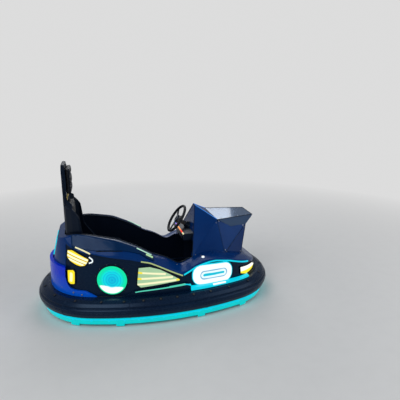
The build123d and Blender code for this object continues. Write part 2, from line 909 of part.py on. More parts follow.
# Lamps on the side panels, each with its raised bars, rings or sunk lens
for word in ("left", "right"):
    with BuildPart() as headlamp:
        panel_layer(head_plate(), word, 0, lamp_proud)
        panel_layer(head_slot(0), word, head_slot_floor, lamp_proud + 1, Mode.SUBTRACT)
        panel_layer(head_slot(head_bar_trim), word, head_slot_floor, head_bar_top)
        panel_layer(head_slot(head_bar_wall), word, head_slot_floor, head_bar_top + 1, Mode.SUBTRACT)
    save(headlamp, "headlamp_" + word)
    with BuildPart() as ring_lamp:
        panel_layer(disc(ring_centre, ring_radius), word, 0, lamp_proud)
        well = disc(ring_centre, ring_radius - ring_lip)
        panel_layer(well, word, ring_floor, lamp_proud + 1, Mode.SUBTRACT)
        panel_layer(disc(ring_centre, *ring_step_radii[:2]), word, ring_floor, ring_step_top)
        panel_layer(disc(ring_centre, ring_step_radii[2]), word, ring_floor, ring_step_top)
    save(ring_lamp, "ring_lamp_" + word)
    for label, points, bars, proud in (
        ("triangle_lamp_", triangle_outline, triangle_bars, plain_lamp_proud),
        ("rear_bar_lamp_", rear_bar_outline, rear_bars, plain_lamp_proud),
        ("marker_lamp_", marker_outline, [], marker_proud),
    ):
        with BuildPart() as lamp:
            panel_layer(outline(points), word, 0, proud)
            for row in bars:
                panel_layer(bar(*row), word, proud, proud + lamp_bar_height)
        save(lamp, label + word)
    with BuildPart() as corner_lamp:
        panel_layer(outline(corner_outline), word, 0, corner_proud)
        panel_layer(outline(corner_upper), word, corner_proud, lamp_proud)
    save(corner_lamp, "corner_lamp_" + word)

# Blade along the rear shoulders, lying on the shell's slope
for word, side in (("left", 1), ("right", -1)):
    with BuildPart() as blade:
        shell_block(-blade_proud)
        with BuildPart(mode=Mode.PRIVATE) as blade_core:
            shell_block(0)
        add(blade_core.part, mode=Mode.SUBTRACT)
        with BuildSketch(Plane.XZ) as face:
            add(outline(blade_outline))
        extrude(face.sketch, amount=-side * half_length, mode=Mode.INTERSECT)
        wall_block(0, body_base, body_ceiling, Mode.INTERSECT)
        opening_block(blade_setback, clear_low, clear_top, Mode.SUBTRACT)
    save(blade, "blade_trim_" + word)

# Crossed light strokes on the leaning tail
tail_top = Vector(tail_line[1][0], 0, tail_line[1][1])
tail_foot = Vector(tail_line[2][0], 0, tail_line[2][1])
tail_normal = (tail_top - tail_foot).cross(Vector(0, 1, 0)).normalized()
tail_plane = Plane((tail_top + tail_foot) * 0.5, x_dir=(0, 1, 0), z_dir=tail_normal)
with BuildPart() as rear_cross_lamp:
    with BuildSketch(tail_plane):
        for turn in (cross_turn, -cross_turn):
            Rectangle(cross_length, cross_width, rotation=turn)
    extrude(amount=cross_proud)
save(rear_cross_lamp, "rear_cross_lamp")

# Bucket seat: a bent back, two side wings and a base from one plan outline
with BuildPart() as seat_shell:
    left = seat_plan_rear + seat_plan_front
    right = [(x, -y) for x, y in reversed(left)]
    with BuildSketch(Plane.XY.offset(seat_base_z)) as bucket_plan:
        add(outline(left + right))
    extrude(bucket_plan.sketch, amount=seat_top - seat_base_z)
    with BuildSketch(Plane.YZ.offset(seat_wing_view[0][0])) as back:
        other_half = [(-y, z) for y, z in reversed(seat_back_view)]
        add(outline(seat_back_view + other_half))
    extrude(back.sketch, amount=half_length, mode=Mode.INTERSECT)
    across(seat_wing_view, half_width, Mode.INTERSECT)
    floor_x, rear_floor_half, front_floor_half = seat_back_floor
    floor_z = (seat_base_z, seat_base_z + seat_base_thickness)
    brick((seat_back_front, floor_x), (-rear_floor_half, rear_floor_half), floor_z)
    brick((floor_x, seat_front_x), (-front_floor_half, front_floor_half), floor_z)
    for side in (-1, 1):
        with Locations((seat_back_rear, side * strap_slot_y, strap_slot_z)):
            Box(4 * (seat_back_front - seat_back_rear), *strap_slot_size, mode=Mode.SUBTRACT)
save(seat_shell, "seat_shell")

cushion_low = seat_base_z + seat_base_thickness
pad_front = seat_back_front + back_pad_depth
with BuildPart() as seat_cushion:
    pad_z = (cushion_low, cushion_low + seat_pad_height)
    brick((pad_front, seat_pad_front_x), (-seat_pad_half, seat_pad_half), pad_z)
save(seat_cushion, "seat_cushion")

with BuildPart() as back_pad:
    brick((seat_back_front, pad_front), (-back_pad_half, back_pad_half), (cushion_low, back_pad_top))
save(back_pad, "back_pad")

with BuildPart() as head_pad:
    head_pad_x = (seat_back_front, seat_back_front + head_pad_depth)
    brick(head_pad_x, (-head_pad_half, head_pad_half), head_pad_span)
save(head_pad, "head_pad")

# Foot pedal on the pan
with BuildPart() as foot_pedal:
    across(pedal_view, pedal_half)
save(foot_pedal, "foot_pedal")
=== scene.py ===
"""Finishes, soft pieces, small parts, light and camera for the drift kart."""

import functools
import json
import logging
import math
from dataclasses import dataclass
from enum import Enum
from typing import Callable, Iterable, Sequence

import bmesh
import bpy
from mathutils import Matrix, Vector
from mathutils.geometry import convex_hull_2d


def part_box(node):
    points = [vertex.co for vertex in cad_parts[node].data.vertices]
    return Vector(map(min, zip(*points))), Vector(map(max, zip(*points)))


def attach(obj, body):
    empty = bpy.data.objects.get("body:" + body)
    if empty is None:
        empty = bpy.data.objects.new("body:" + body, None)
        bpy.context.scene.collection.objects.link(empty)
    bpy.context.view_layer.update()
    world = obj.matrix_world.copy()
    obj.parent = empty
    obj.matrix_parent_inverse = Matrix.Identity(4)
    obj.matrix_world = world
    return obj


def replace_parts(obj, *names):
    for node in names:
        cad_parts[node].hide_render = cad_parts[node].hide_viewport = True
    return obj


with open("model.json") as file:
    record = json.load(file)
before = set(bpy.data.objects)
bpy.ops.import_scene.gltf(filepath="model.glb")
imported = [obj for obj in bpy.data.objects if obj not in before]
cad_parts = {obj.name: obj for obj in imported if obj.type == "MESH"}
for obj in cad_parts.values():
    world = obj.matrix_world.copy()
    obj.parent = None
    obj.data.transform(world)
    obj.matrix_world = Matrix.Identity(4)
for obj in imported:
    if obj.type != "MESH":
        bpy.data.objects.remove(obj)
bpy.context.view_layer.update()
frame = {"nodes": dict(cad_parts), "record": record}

LOG = logging.getLogger("drift_kart")

Colour = tuple[float, float, float]
Point = tuple[float, float, float]
Points = tuple[Point, ...]
Row = tuple[float, ...]
Pair = tuple[float, float]
Pairs = tuple[Pair, ...]
Line = list[Vector]
Surface = Callable[[float, float, float], Vector]
Socket = bpy.types.NodeSocket
Amount = Socket | float

UP = Vector((0, 0, 1))
# Left half of the cockpit opening in plan, and the middle of the ring lamp in the side view
OPENING: Pairs = (
    (-0.724, 0.148), (-0.708, 0.186), (-0.672, 0.23), (-0.628, 0.256), (-0.5, 0.284), (-0.38, 0.3),
    (0.3, 0.3), (0.4, 0.25),
)
RING_CENTRE = (-0.399, 0.331)


class Body(Enum):
    """The moving and fixed bodies that pieces ride on."""

    CHASSIS = "chassis"
    STEERING = "steering_wheel"
    FORK = "drive_fork"
    DRIVE = "drive_wheel"
    REAR_LEFT = "rear_wheel_left"
    REAR_RIGHT = "rear_wheel_right"


class Side(Enum):
    """The two sides of the kart, with the sign of their Y."""

    LEFT = 1
    RIGHT = -1

    @property
    def word(self) -> str:
        """Name of the side as node names spell it."""
        return self.name.lower()

    @property
    def outward(self) -> Vector:
        """Direction away from the kart's middle plane."""
        return self.put(0, 1, 0)

    def put(self, x: float, y: float, z: float) -> Vector:
        """Return a place whose Y counts outwards on this side."""
        return Vector((x, self.value * y, z))


class NodeSheet:
    """A material's node tree with short calls for the nodes the finishes share."""

    def __init__(self, name: str) -> None:
        """Start an empty material.

        Args:
            name: Name of the new material.
        """
        self.material = bpy.data.materials.new(name)
        self.material.use_nodes = True
        self.tree = self.material.node_tree
        self.tree.nodes.clear()
        self.output = self.node("OutputMaterial")
        self.shader = self.node("BsdfPrincipled")
        self.link(self.shader.outputs[0], self.output.inputs["Surface"])
        self.place = self.node("TexCoord").outputs["Object"]

    def node(self, kind: str) -> bpy.types.Node:
        """Add a shader node of a kind."""
        return self.tree.nodes.new(f"ShaderNode{kind}")

    def link(self, source: Socket, target: Socket) -> None:
        """Join two sockets."""
        self.tree.links.new(source, target)

    def feed(self, source: Amount | Colour, target: Socket) -> None:
        """Put a socket's value, a number or a colour into a socket.

        Args:
            source: The socket, number or colour.
            target: The socket that takes it.
        """
        if isinstance(source, bpy.types.NodeSocket):
            self.link(source, target)
        else:
            target.default_value = (*source, 1.0) if isinstance(source, tuple) else source

    def set(self, **values: Amount | Colour) -> None:
        """Feed the main shader's own sockets, with underscores for the blanks in their names."""
        for key, value in values.items():
            self.feed(value, self.shader.inputs[key.replace("_", " ")])

    def noise(self, scale: float, detail: float = 4.0, stretch: Point = (1, 1, 1)) -> Socket:
        """Return a noise pattern over the piece.

        Args:
            scale: Number of features in a metre.
            detail: Octaves of detail.
            stretch: Factor on each axis.

        Returns:
            The factor socket, 0 to 1.
        """
        mapping = self.node("Mapping")
        mapping.inputs["Scale"].default_value = stretch
        self.link(self.place, mapping.inputs["Vector"])
        noise = self.node("TexNoise")
        noise.inputs["Scale"].default_value = scale
        noise.inputs["Detail"].default_value = detail
        self.link(mapping.outputs[0], noise.inputs["Vector"])
        return noise.outputs["Fac"]

    def cells(self, scale: float) -> Socket:
        """Return a cell pattern's distance to the cell edges.

        Args:
            scale: Number of cells in a metre.

        Returns:
            The distance's socket.
        """
        cells = self.node("TexVoronoi")
        cells.feature = "DISTANCE_TO_EDGE"
        cells.inputs["Scale"].default_value = scale
        self.link(self.place, cells.inputs["Vector"])
        return cells.outputs["Distance"]

    def axis(self, letter: str) -> Socket:
        """Return the piece's own X, Y or Z in metres.

        Args:
            letter: Name of the axis.

        Returns:
            The axis's socket.
        """
        split = self.node("SeparateXYZ")
        self.link(self.place, split.inputs[0])
        return split.outputs[letter]

    def math(self, operation: str, first: Amount, second: Amount = 0.0) -> Socket:
        """Combine two amounts.

        Args:
            operation: Name of the operation as the math node spells it.
            first: First socket or number.
            second: Second socket or number.

        Returns:
            The result's socket.
        """
        node = self.node("Math")
        node.operation = operation
        self.feed(first, node.inputs[0])
        self.feed(second, node.inputs[1])
        return node.outputs[0]

    def times(self, first: Amount, second: Amount) -> Socket:
        """Multiply two amounts."""
        return self.math("MULTIPLY", first, second)

    def beyond(self, letter: str, origin: float) -> Socket:
        """Return how far the surface lies past an origin on the piece's own axis."""
        return self.math("SUBTRACT", self.axis(letter), origin)

    def length(self, first: Amount, second: Amount) -> Socket:
        """Return the length of a vector with two parts."""
        squares = [self.math("POWER", part, 2.0) for part in (first, second)]
        return self.math("SQRT", self.math("ADD", *squares))

    def between(self, source: Socket, span: Pair, result: Pair) -> Socket:
        """Map a socket's span onto another one, clamped.

        Args:
            source: The socket to map.
            span: Two inputs.
            result: The outputs at those inputs.

        Returns:
            The mapped socket.
        """
        node = self.node("MapRange")
        self.link(source, node.inputs["Value"])
        for key, value in zip(("From Min", "From Max", "To Min", "To Max"), (*span, *result)):
            node.inputs[key].default_value = value
        return node.outputs[0]

    def blend(self, factor: Socket, first: Colour | Socket, second: Colour | Socket) -> Socket:
        """Mix two colours by a factor socket.

        Args:
            factor: Share of the second colour.
            first: Colour where the factor is 0.
            second: Colour where the factor is 1.

        Returns:
            The colour socket.
        """
        node = self.node("Mix")
        node.data_type = "RGBA"
        for source, target in ((factor, 0), (first, 6), (second, 7)):
            self.feed(source, node.inputs[target])
        return node.outputs[2]

    def bump(self, height: Socket, depth: float, edge: float) -> None:
        """Raise the surface by a pattern and round its edges.

        Args:
            height: The pattern's socket.
            depth: Height of the relief in metres.
            edge: Radius of the rounded edges in metres.
        """
        rounding = self.node("Bevel")
        rounding.samples = 6
        rounding.inputs["Radius"].default_value = edge
        node = self.node("Bump")
        node.inputs["Distance"].default_value = depth
        self.link(rounding.outputs[0], node.inputs["Normal"])
        self.link(height, node.inputs["Height"])
        self.set(Normal=node.outputs[0])


@dataclass(frozen=True)
class Finish:
    """A surface with slight colour changes, worn gloss and a fine grain."""

    name: str
    colour: Colour
    worn: Colour
    roughness: float = 0.4
    rough_worn: float = 0.6
    metallic: float = 0.0
    coat: float = 0.0
    patch_scale: float = 9.0
    grain_scale: float = 300.0
    grain_depth: float = 0.0002
    specular: float = 0.5
    edge: float = 0.0015

    @functools.cache
    def material(self) -> bpy.types.Material:
        """Return the material, made once.

        Returns:
            The material.
        """
        sheet = NodeSheet(f"{self.name}_finish")
        sheet.set(Metallic=self.metallic, Specular_IOR_Level=self.specular)
        sheet.set(Coat_Weight=self.coat, Coat_Roughness=0.05)
        self.dress(sheet)
        return sheet.material

    def dress(self, sheet: NodeSheet) -> None:
        """Wire the pattern nodes of this finish.

        Args:
            sheet: The node tree to fill.
        """
        patches = sheet.noise(self.patch_scale, 6.0)
        share = sheet.between(patches, (0.42, 0.72), (0.0, 1.0))
        rough = sheet.between(patches, (0.3, 0.7), (self.roughness, self.rough_worn))
        sheet.set(Base_Color=sheet.blend(share, self.colour, self.worn), Roughness=rough)
        sheet.bump(self.relief(sheet), self.grain_depth, self.edge)

    def relief(self, sheet: NodeSheet) -> Socket:
        """Return the pattern that raises the surface."""
        return sheet.noise(self.grain_scale, 3.0)


@dataclass(frozen=True)
class Paint(Finish):
    """Deep lacquer with metal flakes and fine scratches, which may take a painted glow of lamp light, lighter
    and cyaner, near its foot.
    """

    flake: Colour = (0.02, 0.08, 0.3)
    sheen: Colour = (0.45, 0.68, 1.0)
    # Painted glow of lamp light near the foot: its colour, and the heights over which it fades out
    foot: Colour | None = None
    foot_glow_span: Pair = (0.2, 0.36)
    flake_scale: float = 1600.0
    fade_scale: float = 3.0
    scratch_scale: float = 60.0

    def dress(self, sheet: NodeSheet) -> None:
        """Wire flakes, soft fading and scratches.

        Args:
            sheet: The node tree to fill.
        """
        sheet.set(Specular_Tint=self.sheen, Coat_Tint=self.sheen)
        flakes = sheet.between(sheet.noise(self.flake_scale, 2.0), (0.6, 0.75), (0.0, 0.35))
        fade = sheet.between(sheet.noise(self.fade_scale, 3.0), (0.35, 0.7), (0.0, 1.0))
        base = sheet.blend(fade, self.colour, self.worn)
        # Painted lamp glow: lighter and cyaner towards the bottom
        if self.foot is not None:
            low = sheet.between(sheet.axis("Z"), self.foot_glow_span, (1.0, 0.0))
            base = sheet.blend(low, base, self.foot)
        scratch = sheet.noise(self.scratch_scale, 8.0, (1.0, 1.0, 7.0))
        rough = sheet.between(scratch, (0.45, 0.8), (self.roughness, self.rough_worn))
        sheet.set(Base_Color=sheet.blend(flakes, base, self.flake), Roughness=rough)
        sheet.bump(sheet.noise(self.grain_scale, 2.0), self.grain_depth, self.edge)


@dataclass(frozen=True)
class Hide(Finish):
    """Soft vinyl with a pebbled grain."""

    pebbles: float = 420.0

    def relief(self, sheet: NodeSheet) -> Socket:
        """Return pebbles between fine creases."""
        return sheet.between(sheet.cells(self.pebbles), (0.0, 0.25), (0.0, 1.0))


@dataclass(frozen=True)
class Plate(Finish):
    """Sheet metal with raised tread bars."""

    waves: Pair = (198.4, 595.2)

    def relief(self, sheet: NodeSheet) -> Socket:
        """Return crossed short bars.

        Args:
            sheet: The node tree to fill.

        Returns:
            The pattern's socket.
        """
        bars = []
        for first, second in (("X", "Y"), ("Y", "X")):
            wave = sheet.math("SINE", sheet.times(sheet.axis(first), self.waves[0]))
            thin = sheet.math("SINE", sheet.times(sheet.axis(second), self.waves[1]))
            bars.append(sheet.times(sheet.between(wave, (0.1, 0.5), (0.0, 1.0)), thin))
        return sheet.math("MAXIMUM", *bars)


@dataclass(frozen=True)
class Light(Finish):
    """A milky lit diffuser, also used for glowing strips that are painted highlights and painted lamp light.
    """

    strength: float = 1.0
    cloud_scale: float = 14.0
    unlit: float = 0.22

    def tint(self, sheet: NodeSheet) -> Socket:
        """Return the colour of the glow over the lens."""
        glow = sheet.between(sheet.noise(self.cloud_scale, 2.0), (0.3, 0.7), (0.6, 1.0))
        return sheet.blend(glow, self.worn, self.colour)

    def dress(self, sheet: NodeSheet) -> None:
        """Wire the glow, over a darker lens.

        Args:
            sheet: The node tree to fill.
        """
        colour = self.tint(sheet)
        shade = sheet.node("HueSaturation")
        shade.inputs["Value"].default_value = self.unlit
        sheet.link(colour, shade.inputs["Color"])
        sheet.set(Base_Color=shade.outputs[0], Emission_Color=colour, Emission_Strength=self.strength)
        sheet.set(Roughness=self.roughness, Specular_IOR_Level=0.2)
        sheet.bump(sheet.noise(self.grain_scale, 2.0), self.grain_depth, self.edge)


@dataclass(frozen=True)
class Streak:
    """A straight lit bar behind a lens, in the side view, in metres."""

    start: Pair
    end: Pair
    half: float
    colour: Colour

    def mask(self, sheet: NodeSheet) -> Socket:
        """Return 1 on the bar and 0 off it, with soft edges and round ends.

        Args:
            sheet: The node tree of the lens.

        Returns:
            The mask's socket.
        """
        run = (Vector(self.end) - Vector(self.start)).to_2d()
        length = run.length
        run.normalize()
        x, z = sheet.beyond("X", self.start[0]), sheet.beyond("Z", self.start[1])
        along = sheet.math("ADD", sheet.times(x, run.x), sheet.times(z, run.y))
        across = sheet.math("SUBTRACT", sheet.times(z, run.x), sheet.times(x, run.y))
        past = sheet.math("SUBTRACT", along, sheet.between(along, (0.0, length), (0.0, length)))
        return sheet.between(sheet.length(past, across), (self.half * 0.8, self.half * 1.05), (1.0, 0.0))


@dataclass(frozen=True)
class StreakLens(Light):
    """A lens with lit bars behind it."""

    streaks: tuple[Streak, ...] = ()

    def tint(self, sheet: NodeSheet) -> Socket:
        """Return the lens colour with its bars.

        Args:
            sheet: The node tree to fill.

        Returns:
            The colour socket.
        """
        colour = super().tint(sheet)
        for streak in self.streaks:
            colour = sheet.blend(streak.mask(sheet), colour, streak.colour)
        return colour


@dataclass(frozen=True)
class RoundLens(Light):
    """A round lens with rings, a green rim and a bright lower segment."""

    centre: Pair = RING_CENTRE
    ring_waves: float = 330.0
    ring_share: float = 0.45
    core_span: Pair = (0.02, 0.064)
    rim_span: Pair = (0.06, 0.094)
    rim: Colour = (0.0, 0.74, 0.36)
    deep: Colour = (0.0, 0.2, 0.62)
    segment: Colour = (0.95, 1.0, 1.0)
    segment_slope: float = 0.12
    segment_top: Pair = (-0.052, -0.046)
    segment_inside: Pair = (0.053, 0.059)
    segment_outside: Pair = (0.097, 0.101)

    def tint(self, sheet: NodeSheet) -> Socket:
        """Return the ringed colours.

        Args:
            sheet: The node tree to fill.

        Returns:
            The colour socket.
        """
        across, upward = sheet.beyond("X", self.centre[0]), sheet.beyond("Z", self.centre[1])
        radius = sheet.length(across, upward)
        wave = sheet.math("SINE", sheet.times(radius, self.ring_waves))
        rings = sheet.between(wave, (0.2, 0.9), (0.0, self.ring_share))
        colour = sheet.blend(rings, super().tint(sheet), self.deep)
        colour = sheet.blend(sheet.between(radius, self.core_span, (0.4, 0.0)), colour, self.deep)
        colour = sheet.blend(sheet.between(radius, self.rim_span, (0.0, 1.0)), colour, self.rim)
        chord = sheet.math("ADD", upward, sheet.times(across, self.segment_slope))
        low = sheet.between(chord, self.segment_top, (1.0, 0.0))
        clear = sheet.between(radius, self.segment_inside, (0.0, 1.0))
        inside = sheet.between(radius, self.segment_outside, (1.0, 0.0))
        return sheet.blend(sheet.times(sheet.times(low, clear), inside), colour, self.segment)


WHITE = (0.95, 0.99, 1.0)
YELLOW = (1.0, 0.83, 0.05)
CREAM = (1.0, 0.96, 0.6)

SOLID_FINISHES = (
    Paint(
        "blue_shell", (0.0, 0.022, 0.12), (0.0, 0.034, 0.17), 0.2, 0.34,
        coat=0.08, specular=0.16, edge=0.004,
    ),
    Paint(
        "dark_panel", (0.001, 0.007, 0.024), (0.001, 0.01, 0.03), 0.24, 0.4,
        coat=0.05, specular=0.2, flake=(0.002, 0.012, 0.04),
    ),
    Paint(
        "blade_lacquer", (0.0, 0.015, 0.06), (0.001, 0.022, 0.085), 0.18, 0.3,
        coat=0.1, specular=0.16, edge=0.004, flake=(0.002, 0.03, 0.12),
    ),
    Paint(
        "wing_gloss", (0.03, 0.055, 0.1), (0.04, 0.075, 0.13), 0.08, 0.2,
        coat=0.6, flake=(0.1, 0.16, 0.25),
    ),
    # Tail cover blue, with a painted cyan glow of lamp light towards its foot
    Paint(
        "deep_blue", (0.0, 0.012, 0.6), (0.0, 0.04, 0.72), 0.2, 0.34,
        coat=0.1, specular=0.2, flake=(0.0, 0.05, 0.9), foot=(0.0, 0.13, 0.75),
    ),
    Paint(
        "bumper_rubber", (0.001, 0.007, 0.026), (0.002, 0.012, 0.036), 0.26, 0.44,
        specular=0.3, edge=0.006, flake=(0.002, 0.01, 0.03),
    ),
    Paint(
        "black_plastic", (0.001, 0.003, 0.009), (0.002, 0.004, 0.012), 0.38, 0.55,
        specular=0.25, flake=(0.003, 0.006, 0.014),
    ),
    Hide(
        "seat_vinyl", (0.003, 0.004, 0.008), (0.008, 0.009, 0.014), 0.42, 0.58,
        grain_depth=0.0006, specular=0.3,
    ),
    Plate("bright_steel", (0.3, 0.31, 0.32), (0.42, 0.42, 0.43), 0.3, 0.5, metallic=1.0, grain_depth=0.001),
    Finish("cast_hub", (0.38, 0.38, 0.4), (0.5, 0.5, 0.5), 0.4, 0.55, metallic=1.0, grain_depth=0.0004),
    Finish("bare_steel", (0.3, 0.32, 0.36), (0.2, 0.21, 0.24), 0.25, 0.45, metallic=1.0),
    Finish("brass", (0.55, 0.42, 0.12), (0.45, 0.33, 0.1), 0.3, 0.45, metallic=1.0),
    Finish("tyre", (0.02, 0.02, 0.02), (0.05, 0.05, 0.048), 0.7, 0.9, patch_scale=30.0),
    Finish("steel_frame", (0.02, 0.02, 0.023), (0.05, 0.05, 0.052), 0.4, 0.6),
    Finish("battery_case", (0.02, 0.02, 0.023), (0.04, 0.04, 0.04), 0.5, 0.6),
    Finish("thread", (0.2, 0.22, 0.26), (0.14, 0.15, 0.18), 0.7, 0.8, grain_scale=1500.0),
)
# Glowing lines and small lamps: name, colour, colour in its clouds, roughness, strength. Green, mint, pale
# mint and lime draw only painted highlights; cyan, white, warm and sky draw lamps and painted light
LIGHTS = (
    ("cyan_light", (0.0, 0.62, 0.78), (0.0, 0.48, 0.66), 0.3, 0.95),
    ("white_light", WHITE, (0.75, 0.97, 1.0), 0.2, 0.95),
    ("green_light", (0.5, 0.78, 0.42), (0.36, 0.66, 0.32), 0.2, 0.8),
    ("warm_light", (0.9, 0.86, 0.5), (0.7, 0.6, 0.3), 0.2, 0.9),
    ("mint_painted_highlight", (0.1, 0.72, 0.5), (0.08, 0.55, 0.45), 0.3, 0.8),
    ("pale_mint_painted_highlight", (0.5, 0.85, 0.65), (0.4, 0.7, 0.6), 0.3, 0.85),
    ("lime_painted_highlight", (0.5, 0.6, 0.25), (0.3, 0.45, 0.2), 0.3, 0.7),
    ("red_light", (1.0, 0.06, 0.03), (1.0, 0.02, 0.02), 0.2, 1.0),
    ("amber_light", (1.0, 0.3, 0.04), (1.0, 0.45, 0.08), 0.2, 1.0),
    ("violet_light", (0.3, 0.06, 0.6), (0.5, 0.1, 0.5), 0.2, 0.8),
    ("sky_light", (0.03, 0.25, 0.9), (0.1, 0.4, 1.0), 0.2, 0.7),
)
FINISHES: dict[str, Finish] = {finish.name: finish for finish in SOLID_FINISHES} | {
    name: Light(name, colour, worn, roughness, strength=strength)
    for name, colour, worn, roughness, strength in LIGHTS
}

# Middle line of the headlamp's slot in the side view
HEAD_SLOT = ((0.298, 0.2985), (0.462, 0.2932))
LENSES: dict[str, Finish] = {
    "headlamp": StreakLens(
        "headlamp_lens", WHITE, (0.8, 0.98, 1.0), 0.15, strength=0.97,
        streaks=(
            Streak(*HEAD_SLOT, 0.0365, (0.0, 0.26, 0.5)),
            Streak(*HEAD_SLOT, 0.0285, (0.8, 0.96, 1.0)),
            Streak(*HEAD_SLOT, 0.011, (0.0, 0.5, 0.66)),
        ),
    ),
    "ring_lamp": RoundLens("ring_lamp_lens", (0.0, 0.72, 0.74), (0.0, 0.6, 0.76), 0.15, strength=0.95),
    "triangle_lamp": StreakLens(
        "triangle_lens", (0.42, 0.64, 0.38), (0.3, 0.5, 0.3), 0.18, strength=0.85,
        streaks=(
            Streak((-0.205, 0.377), (-0.012, 0.352), 0.008, CREAM),
            Streak((-0.212, 0.331), (0.042, 0.323), 0.008, CREAM),
            Streak((-0.212, 0.288), (0.09, 0.297), 0.0075, CREAM),
            Streak((-0.205, 0.377), (-0.186, 0.374), 0.0085, YELLOW),
            Streak((-0.212, 0.331), (-0.194, 0.33), 0.0085, YELLOW),
            Streak((0.078, 0.2965), (0.098, 0.297), 0.008, YELLOW),
        ),
    ),
    "rear_bar_lamp": StreakLens(
        "rear_bar_lens", (1.0, 0.74, 0.02), (0.95, 0.6, 0.0), 0.18, strength=0.97,
        streaks=(
            Streak((-0.7, 0.531), (-0.568, 0.48), 0.0085, CREAM),
            Streak((-0.706, 0.505), (-0.574, 0.457), 0.0085, CREAM),
            Streak((-0.694, 0.478), (-0.6, 0.445), 0.0075, CREAM),
            Streak((-0.703, 0.5195), (-0.565, 0.4675), 0.0026, (0.42, 0.27, 0.0)),
            Streak((-0.706, 0.493), (-0.575, 0.445), 0.0026, (0.42, 0.27, 0.0)),
        ),
    ),
    "marker_lamp": StreakLens(
        "marker_lens", (0.98, 0.8, 0.02), (0.95, 0.65, 0.0), 0.18, strength=0.97,
        streaks=(Streak((-0.692, 0.318), (-0.687, 0.368), 0.011, (1.0, 0.94, 0.5)),),
    ),
    "corner_lamp": StreakLens(
        "corner_lens", (0.95, 0.83, 0.03), (0.9, 0.75, 0.03), 0.18, strength=0.97,
        streaks=(Streak((0.6, 0.278), (0.815, 0.258), 0.021, (1.0, 1.0, 0.9)),),
    ),
    "skirt": Light("skirt_glow", (0.0, 0.58, 0.58), (0.0, 0.46, 0.5), 0.35, strength=0.95),
}
# CAD nodes that are dressed otherwise than by their material slot
NODE_FINISHES = {
    "tail_cover": "deep_blue",
    "body_sill": "dark_panel",
    "wing_plate": "wing_gloss",
    "blade_trim_left": "blade_lacquer",
    "blade_trim_right": "blade_lacquer",
}


def dress_nodes() -> None:
    """Give every CAD node the finish of its material slot, and the lamps their lenses."""
    slots = {row["node"]: row["material_slot"] for row in frame["record"]["subparts"]}
    for name, node in frame["nodes"].items():
        kind = "skirt" if name == "underglow_skirt" else name.rsplit("_", 1)[0]
        finish = LENSES.get(kind) or FINISHES[NODE_FINISHES.get(name, slots[name])]
        node.data.materials.clear()
        node.data.materials.append(finish.material())
        LOG.info("dressed %s", name)


def add_object(name: str, data: bpy.types.ID) -> bpy.types.Object:
    """Put an object with its data into the scene.

    Args:
        name: Name of the object.
        data: Its mesh, lamp or camera.

    Returns:
        The new object.
    """
    thing = bpy.data.objects.new(name, data)
    bpy.context.collection.objects.link(thing)
    return thing


def aim(place: Vector, axis: Vector) -> Matrix:
    """Return the frame at a place whose Z points along an axis."""
    return Matrix.Translation(place) @ axis.to_track_quat("Z", "Y").to_matrix().to_4x4()


def spin(place: Matrix, turn: float) -> Matrix:
    """Return a frame turned about its own Z by an angle in radians."""
    return place @ Matrix.Rotation(turn, 4, "Z")


def full_turn(count: int) -> list[float]:
    """Return evenly spaced angles round a circle, in radians."""
    return [2 * math.pi * step / count for step in range(count)]


def rectangle(low: Sequence[float], high: Sequence[float]) -> list[Pair]:
    """Return the corners of a rectangle in turn."""
    return [(low[0], low[1]), (high[0], low[1]), (high[0], high[1]), (low[0], high[1])]


def round_edges(piece: bpy.types.Object, width: float) -> None:
    """Round a piece's sharp edges.

    Args:
        piece: The piece.
        width: Width of the rounding, in metres.
    """
    rounding = piece.modifiers.new("rounding", "BEVEL")
    rounding.width = width
    rounding.segments = 2
    rounding.limit_method = "ANGLE"


def soften(line: Line, closed: bool = False) -> Line:
    """Return a line with each point drawn to its neighbours.

    Args:
        line: The points.
        closed: Whether they are a loop, else both ends stay.

    Returns:
        The new points.
    """
    triples = zip(line[-1:] + line[:-1], line, line[1:] + line[:1])
    soft = [(before + point * 2 + after) / 4 for before, point, after in triples]
    return soft if closed else [line[0], *soft[1:-1], line[-1]]


def resample(
    points: Iterable[Sequence[float]], step: float = 0.008, closed: bool = False, rounds: int = 2
) -> Line:
    """Return evenly spaced points along a polyline with softened corners.

    Args:
        points: The polyline's corners.
        step: Spacing of the result.
        closed: Whether the polyline is a loop.
        rounds: Number of smoothing passes.

    Returns:
        The new points.
    """
    corners = [Vector(point) for point in points]
    if closed:
        corners.append(corners[0])
    line: Line = []
    for first, second in zip(corners, corners[1:]):
        count = max(1, round((second - first).length / step))
        line += [first.lerp(second, index / count) for index in range(count)]
    if not closed:
        line.append(corners[-1])
    for _ in range(rounds):
        line = soften(line, closed)
    return line


def runs(line: Sequence[Vector], closed: bool) -> list[tuple[Vector, Vector]]:
    """Return each point of a line with the direction in which the line passes it.

    Args:
        line: The points.
        closed: Whether they are a loop.

    Returns:
        Pairs of a point and its direction.
    """
    rows = []
    for index, point in enumerate(line):
        before = line[index - 1] if index or closed else point
        after = line[(index + 1) % len(line)] if closed or index + 1 < len(line) else point
        rows.append((point, (after - before).normalized()))
    return rows


def between_rows(rows: Sequence[Sequence[float]], x: float) -> list[float]:
    """Return the values of a table at x, in straight runs between its rows.

    Args:
        rows: The table, with x first in each row.
        x: Where it is read.

    Returns:
        The values beside x.
    """
    for low, high in zip(rows, rows[1:]):
        if low[0] <= x <= high[0]:
            share = (x - low[0]) / (high[0] - low[0])
            return [a + (b - a) * share for a, b in zip(low[1:], high[1:])]
    return list(rows[0][1:] if x < rows[0][0] else rows[-1][1:])


